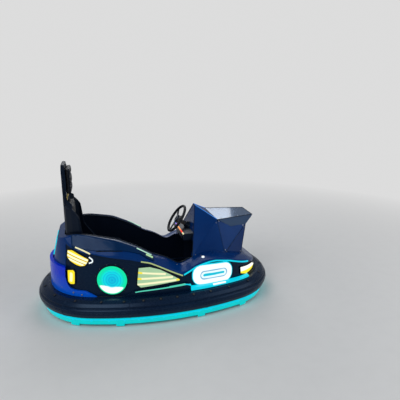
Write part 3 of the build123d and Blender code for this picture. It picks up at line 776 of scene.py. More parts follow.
class Form:
    """A mesh in the making, with the shapes that the sub-assemblies share."""

    def __init__(self, name: str, side: Side | None = None) -> None:
        """Start the empty mesh of a piece, whose name ends with its side if it has one."""
        self.name = f"{name}_{side.word}" if side else name
        self.mesh = bmesh.new()

    def sheet(self, rows: Iterable[Sequence[Vector]]) -> None:
        """Skin open rows of equal length one after another.

        Args:
            rows: The rows in order.
        """
        grid = [[self.mesh.verts.new(point) for point in row] for row in rows]
        for first, second in zip(grid, grid[1:]):
            for near, far in ((index, index + 1) for index in range(len(first) - 1)):
                self.mesh.faces.new((first[near], first[far], second[far], second[near]))

    def loft(self, rings: Iterable[Sequence[Vector]], closed: bool = False) -> None:
        """Skin closed rings of equal length one after another.

        Args:
            rings: The rings in order.
            closed: Whether the last ring joins the first.
        """
        rows = [[self.mesh.verts.new(point) for point in ring] for ring in rings]
        count = len(rows[0])
        pairs = list(zip(rows, rows[1:]))
        if closed:
            pairs.append((rows[-1], rows[0]))
        for first, second in pairs:
            for near, far in ((index, (index + 1) % count) for index in range(count)):
                self.mesh.faces.new((first[near], first[far], second[far], second[near]))
        if not closed:
            self.mesh.faces.new(rows[0][::-1])
            self.mesh.faces.new(rows[-1])

    def band(
        self,
        line: Line,
        half: float,
        low: float,
        high: float,
        surface: Surface,
        closed: bool = False,
        taper: float = 1.0,
    ) -> None:
        """Lay a flat strip with bevelled edges along a line on a surface.

        Args:
            line: Points in the surface's own view.
            half: Half its width where it starts.
            low: Height of its foot above the surface.
            high: Height of its top.
            surface: Turns a point of the view and a height into a place.
            closed: Whether the line is a loop.
            taper: Share of its width that is left where it ends.
        """
        edge = min(half, high - low) * 0.4
        left = [(-half, low), (-half, high - edge), (edge - half, high)]
        rows = left + [(-off, tall) for off, tall in reversed(left)]
        rings = []
        for index, (point, run) in enumerate(runs(line, closed)):
            share = 1 + (taper - 1) * index / len(line)
            side = Vector((-run.y, run.x)) * share
            spots = ((point + side * off, tall) for off, tall in rows)
            rings.append([surface(spot.x, spot.y, tall) for spot, tall in spots])
        self.loft(rings, closed)

    def tube(self, line: Sequence[Vector], radius: float, sides: int = 10, closed: bool = False) -> None:
        """Run a round rod through points.

        Args:
            line: Its centre line.
            radius: Its radius.
            sides: Sides of its section.
            closed: Whether the line is a loop.
        """
        rings = []
        normal = Vector((0.31, 0.17, 0.93))
        for point, run in runs(line, closed):
            normal = (normal - run * normal.dot(run)).normalized()
            side = run.cross(normal)
            spokes = (normal * math.cos(turn) + side * math.sin(turn) for turn in full_turn(sides))
            rings.append([point + spoke * radius for spoke in spokes])
        self.loft(rings, closed)

    def lathe(self, profile: Sequence[Pair], place: Matrix, count: int = 32) -> None:
        """Turn a profile of (radius, height) about the place's own Z.

        Args:
            profile: Its points, from the axis back to the axis or round a ring.
            place: Where the axis stands.
            count: Steps in a full turn.
        """
        rings = []
        for turn in full_turn(count):
            across, along = math.cos(turn), math.sin(turn)
            rings.append([place @ Vector((r * across, r * along, height)) for r, height in profile])
        self.loft(rings, True)

    def bolt(self, place: Matrix, radius: float = 0.005, height: float = 0.004, sides: int = 6) -> None:
        """Seat a bolt head on a washer, its axis along the place's Z.

        Args:
            place: Where it sits.
            radius: Radius of the head.
            height: Height over the seat.
            sides: Sides of the head.
        """
        wide = radius * 1.5
        thin = height * 0.25
        self.lathe([(0, -0.001), (wide, -0.001), (wide, thin), (0, thin)], place, 18)
        rim = [(radius, thin), (radius, height * 0.8), (radius * 0.8, height)]
        self.lathe([(0, thin), *rim, (0, height)], place, sides)

    def bolts(
        self, places: Iterable[Vector], axis: Vector, radius: float, height: float, sides: int = 6
    ) -> None:
        """Seat a bolt at each place, all pointing along one axis."""
        for place in places:
            self.bolt(aim(place, axis), radius, height, sides)

    def done(
        self, finish: str, body: Body = Body.CHASSIS, sharp: float = 35.0, bevel: float = 0.0
    ) -> bpy.types.Object:
        """Turn the mesh into a piece that rides on a body.

        Args:
            finish: Name of its finish.
            body: The body it rides on.
            sharp: Edges over this angle in degrees stay crisp.
            bevel: Width of rounded edges, in metres.

        Returns:
            The new object.
        """
        bmesh.ops.remove_doubles(self.mesh, verts=self.mesh.verts, dist=1e-6)
        bmesh.ops.recalc_face_normals(self.mesh, faces=self.mesh.faces)
        data = bpy.data.meshes.new(self.name)
        self.mesh.to_mesh(data)
        self.mesh.free()
        data.shade_smooth()
        data.set_sharp_from_angle(angle=math.radians(sharp))
        data.materials.append(FINISHES[finish].material())
        piece = add_object(self.name, data)
        if bevel:
            round_edges(piece, bevel)
        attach(piece, body.value)
        LOG.info("built %s", self.name)
        return piece


@dataclass(frozen=True)
class Oval:
    """A plan outline of two side arcs and two end arcs."""

    end_centre: float = 0.43
    half_width: float = 0.595
    end_radius: float = 0.53

    @property
    def side_radius(self) -> float:
        """Radius of the long side arcs."""
        square = self.end_centre**2 + self.half_width**2 - self.end_radius**2
        return square / (2 * (self.half_width - self.end_radius))

    def half(self, x: float, inset: float) -> float:
        """Return the half width at x, moved inwards by inset.

        Args:
            x: Where it is read.
            inset: Distance inwards from the outline.

        Returns:
            The half width.
        """
        side = self.side_radius
        if abs(x) < self.end_centre / (side - self.end_radius) * (side - inset):
            return math.sqrt((side - inset) ** 2 - x * x) - (side - self.half_width)
        return math.sqrt(max(0.0, (self.end_radius - inset) ** 2 - (abs(x) - self.end_centre) ** 2))

    def rim(self, turn: float, inset: float, z: float = 0.0) -> Vector:
        """Return the outline's point in a direction from the middle, by halving the reach.

        Args:
            turn: Direction in degrees, 0 at the nose and 90 on the left.
            inset: Distance inwards from the outline.
            z: Height of the point.

        Returns:
            The point.
        """
        ahead, aside = math.cos(math.radians(turn)), math.sin(math.radians(turn))
        low, high = 0.0, 2.0
        for _ in range(40):
            reach = (low + high) / 2
            x, y = ahead * reach, abs(aside) * reach
            inside = abs(x) < self.end_centre + self.end_radius - inset and y < self.half(x, inset)
            low, high = (reach, high) if inside else (low, reach)
        return Vector((ahead * low, aside * low, z))


@dataclass(frozen=True)
class BodyWall:
    """The leaning wall of the body, met in its side view."""

    side: Side
    plan: Oval = Oval(0.45)
    inset: float = 0.125
    base: float = 0.206
    lean: float = math.tan(math.radians(6))

    def point(self, x: float, z: float, proud: float) -> Vector:
        """Return the place at x and z that stands proud of the wall by a height."""
        inset = self.inset + (z - self.base) * self.lean - proud
        return self.side.put(x, self.plan.half(x, inset), z)

    def seat(self, x: float, z: float, proud: float) -> Matrix:
        """Return a frame on the wall whose Z points outwards.

        Args:
            x: Place along the kart.
            z: Height over the floor.
            proud: Height over the wall.

        Returns:
            The frame.
        """
        place = self.point(x, z, proud)
        run = self.point(x + 0.001, z, proud) - place
        rise = self.point(x, z + 0.001, proud) - place
        return aim(place, rise.cross(run) * self.side.value)


@dataclass(frozen=True)
class Shoulder:
    """The sloping shoulder of the upper shell, met in its side view."""

    side: Side
    # Columns: x, half width of the flat top, its height, width and drop of the slope outside it
    rows: tuple[Row, ...] = (
        (-0.9, 0.215, 0.58, 0.11, 0.26),
        (-0.78, 0.225, 0.612, 0.105, 0.24),
        (-0.65, 0.258, 0.65, 0.09, 0.158),
        (-0.535, 0.314, 0.643, 0.08, 0.19),
        (-0.34, 0.36, 0.6, 0.09, 0.17),
        (-0.19, 0.356, 0.53, 0.13, 0.085),
        (-0.085, 0.356, 0.462, 0.13, 0.03),
        (0.02, 0.358, 0.424, 0.13, 0.05),
        (0.131, 0.366, 0.354, 0.13, 0.03),
        (0.224, 0.36, 0.398, 0.13, 0.024),
        (0.3, 0.35, 0.426, 0.13, 0.03),
        (0.43, 0.334, 0.428, 0.14, 0.026),
        (0.555, 0.28, 0.392, 0.16, 0.022),
        (0.66, 0.235, 0.356, 0.165, 0.026),
        (0.74, 0.19, 0.324, 0.17, 0.022),
        (0.8, 0.16, 0.286, 0.17, 0.02),
        (0.9, 0.1, 0.23, 0.18, 0.02),
    )
    level: float = 0.55
    steps: tuple[int, int, int] = (8, 14, 10)
    rounds: int = 4

    def profile(self, x: float) -> list[float]:
        """Return half width, height, run and fall at x, with the table's corners rounded."""
        near = [between_rows(self.rows, x + 0.01 * step) for step in range(-3, 4)]
        return [sum(values) / len(near) for values in zip(*near)]

    def point(self, x: float, z: float, proud: float) -> Vector:
        """Return the place at x and z on the slope, raised by a height.

        Args:
            x: Place along the kart.
            z: Height over the floor.
            proud: Height over the slope.

        Returns:
            The place.
        """
        half, height, run, fall = self.profile(x)
        out = half + (height + proud - z) / fall * run
        return self.side.put(x, min(out, BodyWall(Side.LEFT).point(x, z, proud).y), z)

    def flat(self, x: float, y: float, proud: float) -> Vector:
        """Return the place at x and y on the shell's top, raised by a height."""
        half, height, run, fall = self.profile(x)
        return self.side.put(x, y, height - max(0.0, abs(y) - half) / run * fall + proud)

    def section(self, start: float, foot: float, place: Callable[[float], float]) -> Line:
        """Return the shell's cross section on the left, from the middle outwards and down.

        Args:
            start: Y where it starts.
            foot: Z where it ends on the wall.
            place: Gives x at a height, so that a section may lean.

        Returns:
            Points of the section.
        """

        def wall(z: float) -> float:
            """Return the body wall's Y at a height of this section."""
            return BodyWall(Side.LEFT).point(place(z), z, 0.0).y

        half, height, run, fall = self.profile(place(self.level))
        half = min(half, wall(height))
        start = min(start, half)
        low, high = 0.0, 1.5
        for _ in range(30):
            share = (low + high) / 2
            within = half + share * run < wall(height - share * fall)
            low, high = (share, high) if within else (low, share)
        bend = height - low * fall
        on_wall = foot <= bend
        reach = low if on_wall else (height - foot) / fall
        out, drop = half + reach * run, bend if on_wall else foot
        across, slope, down = self.steps
        flat = [(start + (half - start) * step / across, height) for step in range(across)]
        sloped = [
            (half + (out - half) * step / slope, height + (drop - height) * step / slope)
            for step in range(slope)
        ]
        levels = [drop + (min(foot, bend) - drop) * step / down for step in range(down + 1)]
        side = [(wall(z) if on_wall else out, z) for z in levels]
        line = [Vector((y, z)) for y, z in flat + sloped + side]
        for _ in range(self.rounds):
            line = soften(line)
        return [Vector((place(point.y), point.x, point.y)) for point in line]


@dataclass
class ShellSkin:
    """The flowing blue shell, the two blades on its rear shoulders, and the black strips of painted shade
    under the blades.
    """

    # Lower edge in the side view: x and z
    foot: Pairs = (
        (-0.9, 0.38), (-0.7271, 0.38), (-0.727, 0.38), (-0.724, 0.441), (-0.713, 0.588), (-0.681, 0.566),
        (-0.612, 0.541), (-0.529, 0.526), (-0.404, 0.499), (-0.263, 0.477), (-0.185, 0.457),
        (-0.12, 0.441), (-0.047, 0.404), (0.026, 0.365), (0.087, 0.334), (0.131, 0.316), (0.182, 0.343),
        (0.231, 0.374), (0.289, 0.389), (0.348, 0.399), (0.4, 0.398), (0.525, 0.369), (0.654, 0.324),
        (0.74, 0.302), (0.8, 0.272), (0.96, 0.2),
    )
    foot_lap: float = 0.002
    # Lean of the tail: z and x
    tail: Pairs = ((0.36, -0.837), (0.42, -0.822), (0.615, -0.772), (0.7, -0.75))
    tail_start: float = -0.735
    tail_level: float = 0.5
    tail_steps: int = 6
    nose: float = 0.85
    step: float = 0.012
    sliver: float = 0.0005
    thickness: float = 0.005
    # Lower edge of the blade: x and z
    blade_foot: Pairs = (
        (-0.671, 0.56), (-0.612, 0.556), (-0.541, 0.547), (-0.436, 0.544), (-0.329, 0.541),
        (-0.257, 0.525), (-0.185, 0.502), (-0.128, 0.465), (-0.087, 0.446),
    )
    blade_proud: float = 0.008
    blade_thickness: float = 0.0075
    blade_rounding: float = 0.0025
    blade_points: int = 24
    blade_step: float = 0.01
    blade_reach: float = 0.3
    setback: float = 0.026
    # Black strip along the blade's lower edge, in the side view: painted shade of the gap under the blade
    recess: Pairs = ((-0.5, 0.545), (-0.4, 0.545), (-0.31, 0.541))

    def half_opening(self, x: float) -> float:
        """Return the half width of the cockpit opening at x, 0 where there is none."""
        inside = OPENING[0][0] <= x <= OPENING[-1][0]
        return between_rows(OPENING, x)[0] if inside else 0.0

    def stations(self) -> list[tuple[float, Callable[[float], float]]]:
        """Return each section's nominal x and the line that it follows in the side view.

        Returns:
            Pairs of x and the function that gives x at a height.
        """
        rows: list[tuple[float, Callable[[float], float]]] = []
        for step in range(self.tail_steps, 0, -1):
            share = step / self.tail_steps

            def lean(z: float, share: float = share) -> float:
                """Return x at a height on a section that leans with the tail."""
                return self.tail_start + share * (between_rows(self.tail, z)[0] - self.tail_start)

            rows.append((lean(self.tail_level), lean))
        start, end = OPENING[0][0], OPENING[-1][0]
        marks = {self.tail_start, start - self.sliver, start, end, end + self.sliver}
        marks |= {x for x, _ in self.foot if self.tail_start < x < self.nose}
        reach = self.nose - self.tail_start
        count = round(reach / self.step)
        marks |= {self.tail_start + reach * step / count for step in range(1, count + 1)}
        rows += [(x, lambda z, x=x: x) for x in sorted(marks)]
        return rows

    def half(self, side: Side) -> list[Line]:
        """Return the sections of one side.

        Args:
            side: The side.

        Returns:
            The sections from the tail to the nose.
        """
        shell = Shoulder(Side.LEFT)
        rows = []
        for x, place in self.stations():
            foot = between_rows(self.foot, max(x, self.foot[0][0]))[0] - self.foot_lap
            rows.append([side.put(*point) for point in shell.section(self.half_opening(x), foot, place)])
        return rows

    def thicken(self, skin: bpy.types.Object, thickness: float) -> None:
        """Give a skin its thickness, inwards.

        Args:
            skin: The skin's object.
            thickness: Its thickness, in metres.
        """
        wall = skin.modifiers.new("thickness", "SOLIDIFY")
        wall.thickness = thickness
        wall.offset = -1.0

    def blade_row(self, x: float, side: Side) -> Line:
        """Return the blade's cross section at x, raised off the shoulder.

        Args:
            x: Where it is cut.
            side: The side it is on.

        Returns:
            Its points.
        """
        foot = between_rows(self.blade_foot, x)[0]
        start = self.half_opening(x) + self.setback
        section = Shoulder(Side.LEFT).section(start, self.blade_reach, lambda z: x)
        line = resample([point.yz for point in section], 0.004, rounds=1)
        kept = [point for point in line if point.y > foot]
        last = self.blade_points - 1
        kept = [kept[round(share * (len(kept) - 1) / last)] for share in range(self.blade_points)]
        row = []
        for index, point in enumerate(kept):
            run = kept[min(index + 1, last)] - kept[max(index - 1, 0)]
            run = run.normalized() if run.length > 1e-6 else Vector((1, 0))
            lifted = point + Vector((-run.y, run.x)) * self.blade_proud
            row.append(side.put(x, lifted.x, lifted.y))
        return row

    def blade(self, side: Side) -> None:
        """Build the raised blade of one side, and a black strip of painted shade under its lower edge.

        Args:
            side: The side to build.
        """
        low, high = self.blade_foot[0][0], self.blade_foot[-1][0]
        count = round((high - low) / self.blade_step)
        form = Form("blade_skin", side)
        form.sheet(self.blade_row(low + (high - low) * step / count, side) for step in range(count + 1))
        blade = form.done("blade_lacquer", sharp=50)
        self.thicken(blade, self.blade_thickness)
        round_edges(blade, self.blade_rounding)
        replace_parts(blade, f"blade_trim_{side.word}")
        # Black strip of painted shade under the blade's lower edge
        form = Form("blade_recess", side)
        form.band(resample(self.recess, 0.008), 0.0075, -0.006, 0.0015, Shoulder(side).point)
        form.done("black_plastic")

    def build(self) -> None:
        """Build the shell and its blades."""
        form = Form("shell_skin")
        halves = [self.half(side) for side in Side]
        for rows in halves:
            form.sheet(rows)
        form.sheet(rows[0] for rows in halves)
        skin = form.done("blue_shell", sharp=50)
        self.thicken(skin, self.thickness)
        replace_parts(skin, "upper_shell")
        for side in Side:
            self.blade(side)


@dataclass(frozen=True)
class Strip:
    """A strip laid along a line of the side view."""

    name: str
    line: Pairs
    half: float
    low: float
    high: float
    finish: str
    taper: float = 1.0

    def lay(self, side: Side, step: float) -> None:
        """Build the strip on the body's wall.

        Args:
            side: The side it lies on.
            step: Spacing of its points.
        """
        form = Form(self.name, side)
        line = resample(self.line, step)
        form.band(line, self.half, self.low, self.high, BodyWall(side).point, taper=self.taper)
        form.done(self.finish)


@dataclass
class LightLines:
    """Glowing lines along the shoulders, the ledge and the blades, most of them painted highlights and
    painted lamp light on the body's edges, the white end of the rear bar lamp, and the nose's small lamps.
    """

    strips: tuple[Strip, ...] = (
        # Glowing strip along the shell's lower edge over the headlamp: a painted highlight of that edge
        Strip(
            "front_shoulder_highlight",
            ((0.135, 0.326), (0.182, 0.347), (0.231, 0.373), (0.289, 0.387), (0.348, 0.396), (0.4, 0.397),
             (0.525, 0.372), (0.654, 0.33), (0.716, 0.312)),
            0.0055, -0.003, 0.006, "cyan_light",
        ),
        # Glowing strip along the shell's lower edge in the middle: a painted highlight of that edge
        Strip(
            "mid_shoulder_highlight",
            ((-0.185, 0.459), (-0.12, 0.445), (-0.047, 0.409), (0.026, 0.37), (0.087, 0.339), (0.125, 0.321)),
            0.0045, -0.003, 0.005, "lime_painted_highlight",
        ),
        # Glowing strip on the dark sill's top edge: a painted highlight of that edge
        Strip(
            "sill_edge_highlight", ((-0.239, 0.238), (-0.202, 0.243), (0.14, 0.2585)),
            0.0035, 0.012, 0.0225, "mint_painted_highlight", 1.6,
        ),
        # Glowing strip on the step down to the ledge: painted light of the lamps
        Strip(
            "sill_step_painted_light", ((0.13, 0.2585), (0.16, 0.257), (0.182, 0.245)),
            0.0045, 0.004, 0.0225, "cyan_light",
        ),
        # Glowing strip on the glossy ledge under the lamps: painted light of the lamps on the ledge
        Strip(
            "ledge_painted_light", ((0.182, 0.2225), (0.3, 0.2195), (0.45, 0.218), (0.6, 0.216), (0.698, 0.214)),
            0.0125, 0.002, 0.0425, "cyan_light", 0.45,
        ),
        # White strip on the ledge: a painted highlight
        Strip(
            "ledge_painted_highlight", ((0.36, 0.2275), (0.42, 0.2265), (0.47, 0.225)),
            0.005, 0.03, 0.0442, "white_light", 0.8,
        ),
        # Warm strip on the edge above the rear bar lamp: a painted highlight of the lamp's light
        Strip(
            "rear_edge_highlight", ((-0.645, 0.573), (-0.6, 0.557), (-0.543, 0.528)),
            0.0045, -0.004, 0.005, "warm_light",
        ),
    )
    strip_step: float = 0.012
    # Glowing rods on the blades in plan, painted highlights of the blade's lit edge and tip: name, line,
    # radius, finish
    rods: tuple[tuple[str, Pairs, float, str], ...] = (
        (
            "blade_edge_highlight", ((-0.205, 0.364), (-0.17, 0.3655), (-0.13, 0.3665), (-0.098, 0.367)),
            0.0045, "pale_mint_painted_highlight",
        ),
        ("blade_tip_highlight", ((-0.14, 0.386), (-0.115, 0.389), (-0.092, 0.394)), 0.0078, "green_light"),
    )
    rod_proud: float = 0.0095
    hook: Strip = Strip(
        "rear_bar_end",
        ((-0.552, 0.503), (-0.54, 0.494), (-0.529, 0.484), (-0.528, 0.468), (-0.54, 0.462), (-0.555, 0.458)),
        0.0038, -0.005, 0.003, "white_light",
    )
    hook_step: float = 0.004
    nose_lens: Pairs = ((0, -0.004), (0.012, -0.004), (0.012, 0.002), (0.008, 0.005), (0, 0.006))
    nose_place: Point = (0.307, 0.37, 0.001)
    nose_axis: Point = (0.0, 0.35, 1.0)

    def build(self, side: Side) -> None:
        """Build the lines of one side.

        Args:
            side: The side to build.
        """
        top = Shoulder(side).flat
        for strip in self.strips:
            strip.lay(side, self.strip_step)
        for name, line, radius, finish in self.rods:
            form = Form(name, side)
            form.tube([top(x, y, self.rod_proud) for x, y in resample(line)], radius)
            form.done(finish)
        self.hook.lay(side, self.hook_step)
        form = Form("nose_light", side)
        form.lathe(self.nose_lens, aim(top(*self.nose_place), side.put(*self.nose_axis)), 20)
        form.done("white_light")


@dataclass
class LampTrim:
    """Frames round the lamps and the ring lamp's screws."""

    # Kind of lamp, half width and height of its frame, finish
    frames: tuple[tuple[str, float, float, str], ...] = (
        ("headlamp", 0.003, 0.0075, "cyan_light"),
        ("triangle_lamp", 0.0035, 0.0035, "black_plastic"),
        ("rear_bar_lamp", 0.003, 0.0035, "black_plastic"),
        ("marker_lamp", 0.003, 0.0055, "black_plastic"),
        ("corner_lamp", 0.003, 0.0045, "black_plastic"),
    )
    foot: float = -0.006
    growth: float = 0.0025
    ring: tuple[float, float, float] = (0.003, -0.004, 0.0075)
    ring_radius: float = 0.1095
    ring_steps: int = 96
    screw_radius: float = 0.1175
    screws: int = 12
    first_screw: int = 4
    screw_floor: float = 0.24

    def outline(self, node: str) -> Line:
        """Return the hull of a lamp's side view, grown by a hair's breadth.

        Args:
            node: Name of the lamp's CAD node.

        Returns:
            The loop of points.
        """
        flat = [Vector((vertex.co.x, vertex.co.z)) for vertex in frame["nodes"][node].data.vertices]
        hull = [flat[index] for index in convex_hull_2d(flat)]
        middle = sum(hull, Vector((0, 0))) / len(hull)
        grown = [point + (point - middle).normalized() * self.growth for point in hull]
        return resample(grown, 0.006, True, 1)

    def build(self, side: Side) -> None:
        """Build the frames and the screws of one side.

        Args:
            side: The side to build.
        """
        wall = BodyWall(side)
        for kind, half, height, finish in self.frames:
            form = Form(f"{kind}_frame", side)
            form.band(self.outline(f"{kind}_{side.word}"), half, self.foot, height, wall.point, True)
            form.done(finish)
        middle = Vector(RING_CENTRE)
        spokes = [Vector((math.cos(turn), math.sin(turn))) for turn in full_turn(self.ring_steps)]
        form = Form("ring_lamp_frame", side)
        form.band([middle + spoke * self.ring_radius for spoke in spokes], *self.ring, wall.point, True)
        form.done("black_plastic")
        form = Form("ring_lamp_screws", side)
        for spoke in spokes[self.first_screw :: self.ring_steps // self.screws]:
            x, z = middle + spoke * self.screw_radius
            if z > self.screw_floor:
                form.bolt(wall.seat(x, z, -0.001), 0.0028, 0.0025, 12)
        form.done("steel_frame")


@dataclass
class BumperTrim:
    """Joint covers, bolts and rub line of the bumper ring, and the lit tube and clips below it."""

    plan: Oval = Oval()
    # The ring's section: inset and height
    rows: Pairs = (
        (0.034, 0.075), (0.01, 0.092), (0.0, 0.118), (0.0, 0.148), (0.005, 0.156),
        (0.014, 0.16), (0.012, 0.172), (0.03, 0.192), (0.062, 0.206),
    )
    core: Pair = (-0.06, 0.14)
    joints: Row = (28, 62, 118, 152, 208, 242, 298, 332)
    # A cover's sections: degrees off the joint, and how proud it is there
    cover: Pairs = ((-0.55, -0.001), (-0.4, 0.0015), (0.4, 0.0015), (0.55, -0.001))
    cover_depth: float = 0.004
    bolts: int = 28
    bolt_insets: Pair = (0.047, 0.06)
    bolt_height: float = 0.2
    cup: Pairs = ((0.009, -0.001), (0.0125, -0.001), (0.0125, 0.0015), (0.009, 0.002))
    # Tubes all round: name, inset, height, radius, sides, finish
    tubes: tuple[tuple[str, float, float, float, int, str], ...] = (
        ("bumper_rub_line", 0.0005, 0.133, 0.0028, 8, "bumper_rubber"),
        ("skirt_light_tube", 0.031, 0.068, 0.006, 10, "cyan_light"),
    )
    tube_steps: int = 220
    clips: int = 40
    clip_place: Pair = (0.032, 0.062)
    clip: Pairs = ((0, -0.007), (0.007, -0.007), (0.0085, 0.0), (0.007, 0.007), (0, 0.007))

    def joint(self, form: Form, turn: float) -> None:
        """Wrap a thin cover over one joint of the ring.

        Args:
            form: The mesh to add to.
            turn: Direction of the joint in degrees.
        """
        line = resample([(-inset, z) for inset, z in self.rows], 0.008, rounds=1)
        middle = Vector(self.core)
        rings = []
        for step, lift in self.cover:
            outer = [point + (point - middle).normalized() * lift for point in line]
            inner = [point + (middle - point).normalized() * self.cover_depth for point in reversed(line)]
            rings.append([self.plan.rim(turn + step, -point.x, point.y) for point in outer + inner])
        form.loft(rings)

    def build(self) -> None:
        """Build the bumper's small parts."""
        form = Form("bumper_joint_covers")
        for turn in self.joints:
            self.joint(form, turn)
        form.done("bumper_rubber")
        bolts, cups = Form("bumper_bolts"), Form("bumper_bolt_cups")
        for index in range(self.bolts):
            turn = 360 * (index + 0.5) / self.bolts
            place, inner = (self.plan.rim(turn, inset, self.bolt_height) for inset in self.bolt_insets)
            seat = aim(place, (place - inner).normalized() * 0.4 + UP * 0.92)
            bolts.bolt(seat, 0.0055, 0.004)
            cups.lathe(self.cup, seat, 20)
        bolts.done("steel_frame")
        cups.done("black_plastic")
        for name, inset, z, radius, sides, finish in self.tubes:
            form = Form(name)
            loop = [self.plan.rim(360 * step / self.tube_steps, inset, z) for step in range(self.tube_steps)]
            form.tube(loop, radius, sides, True)
            form.done(finish)
        form = Form("skirt_clips")
        for index in range(self.clips):
            place = self.plan.rim(360 * (index + 0.5) / self.clips, *self.clip_place)
            form.lathe(self.clip, aim(place, UP), 12)
        form.done("cyan_light")


@dataclass
class Wheel:
    """A treaded tyre that stands for the plain one, with its hub's bolts and rim rings."""

    tyre: str
    body: Body
    centre: Point
    width: float
    bore: float
    radius: float = 0.0995
    blocks: int = 44
    # Share of a block's pitch, and the depth of the cross groove there
    grooves: Pairs = ((0.0, 0.0), (0.74, 0.0), (0.78, 0.0035), (0.96, 0.0035))
    dish: float = 0.013
    bolts: int = 5
    bolt_circle: float = 0.038
    bolt_share: float = 0.85
    lip: Pairs = ((-0.006, 0.006), (0.001, 0.008), (0.002, 0.012), (-0.006, 0.011))

    def section(self, depth: float) -> list[Pair]:
        """Return the tyre's section of (radius, offset) with its tread cut to a depth.

        Args:
            depth: Depth of the cross grooves here.

        Returns:
            The closed section.
        """
        half, top = self.width / 2, self.radius
        outer = [
            (self.bore, 0.98), (self.bore + 0.008, 1.0), (top - 0.02, 1.0), (top - 0.012, 0.99),
            (top - 0.005, 0.9), (top - 0.001 - depth * 0.7, 0.78), (top - depth, 0.58), (top - depth, 0.3),
            (top - 0.004, 0.26), (top - 0.004, 0.16), (top - depth * 0.5, 0.12),
        ]
        mirrored = [(radius, -share) for radius, share in reversed(outer)]
        return [(radius, share * half) for radius, share in outer + mirrored]

    def build(self) -> None:
        """Build the tyre and the hub's small parts."""
        place = aim(Vector(self.centre), Vector((0, 1, 0)))
        form = Form(f"{self.tyre}_tread")
        rings = []
        for block in range(self.blocks):
            for share, depth in self.grooves:
                turned = spin(place, 2 * math.pi * (block + share) / self.blocks)
                rings.append([turned @ Vector((radius, 0, offset)) for radius, offset in self.section(depth)])
        form.loft(rings, True)
        tyre = form.done("tyre", self.body, 30)
        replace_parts(tyre, self.tyre)
        bolts, rims = Form(f"{self.tyre}_hub_bolts"), Form(f"{self.tyre}_rim_rings")
        dish = self.width / 2 - self.dish
        for face in (1, -1):
            flip = Matrix.Rotation(0 if face > 0 else math.pi, 4, "X")
            spot = Matrix.Translation((self.bolt_circle, 0, face * dish * self.bolt_share)) @ flip
            for turn in full_turn(self.bolts):
                bolts.bolt(spin(place, turn) @ spot, 0.004, 0.005)
            rims.lathe([(self.bore + wide, face * (dish + tall)) for wide, tall in self.lip], place, 48)
        bolts.done("bare_steel", self.body)
        rims.done("cast_hub", self.body)


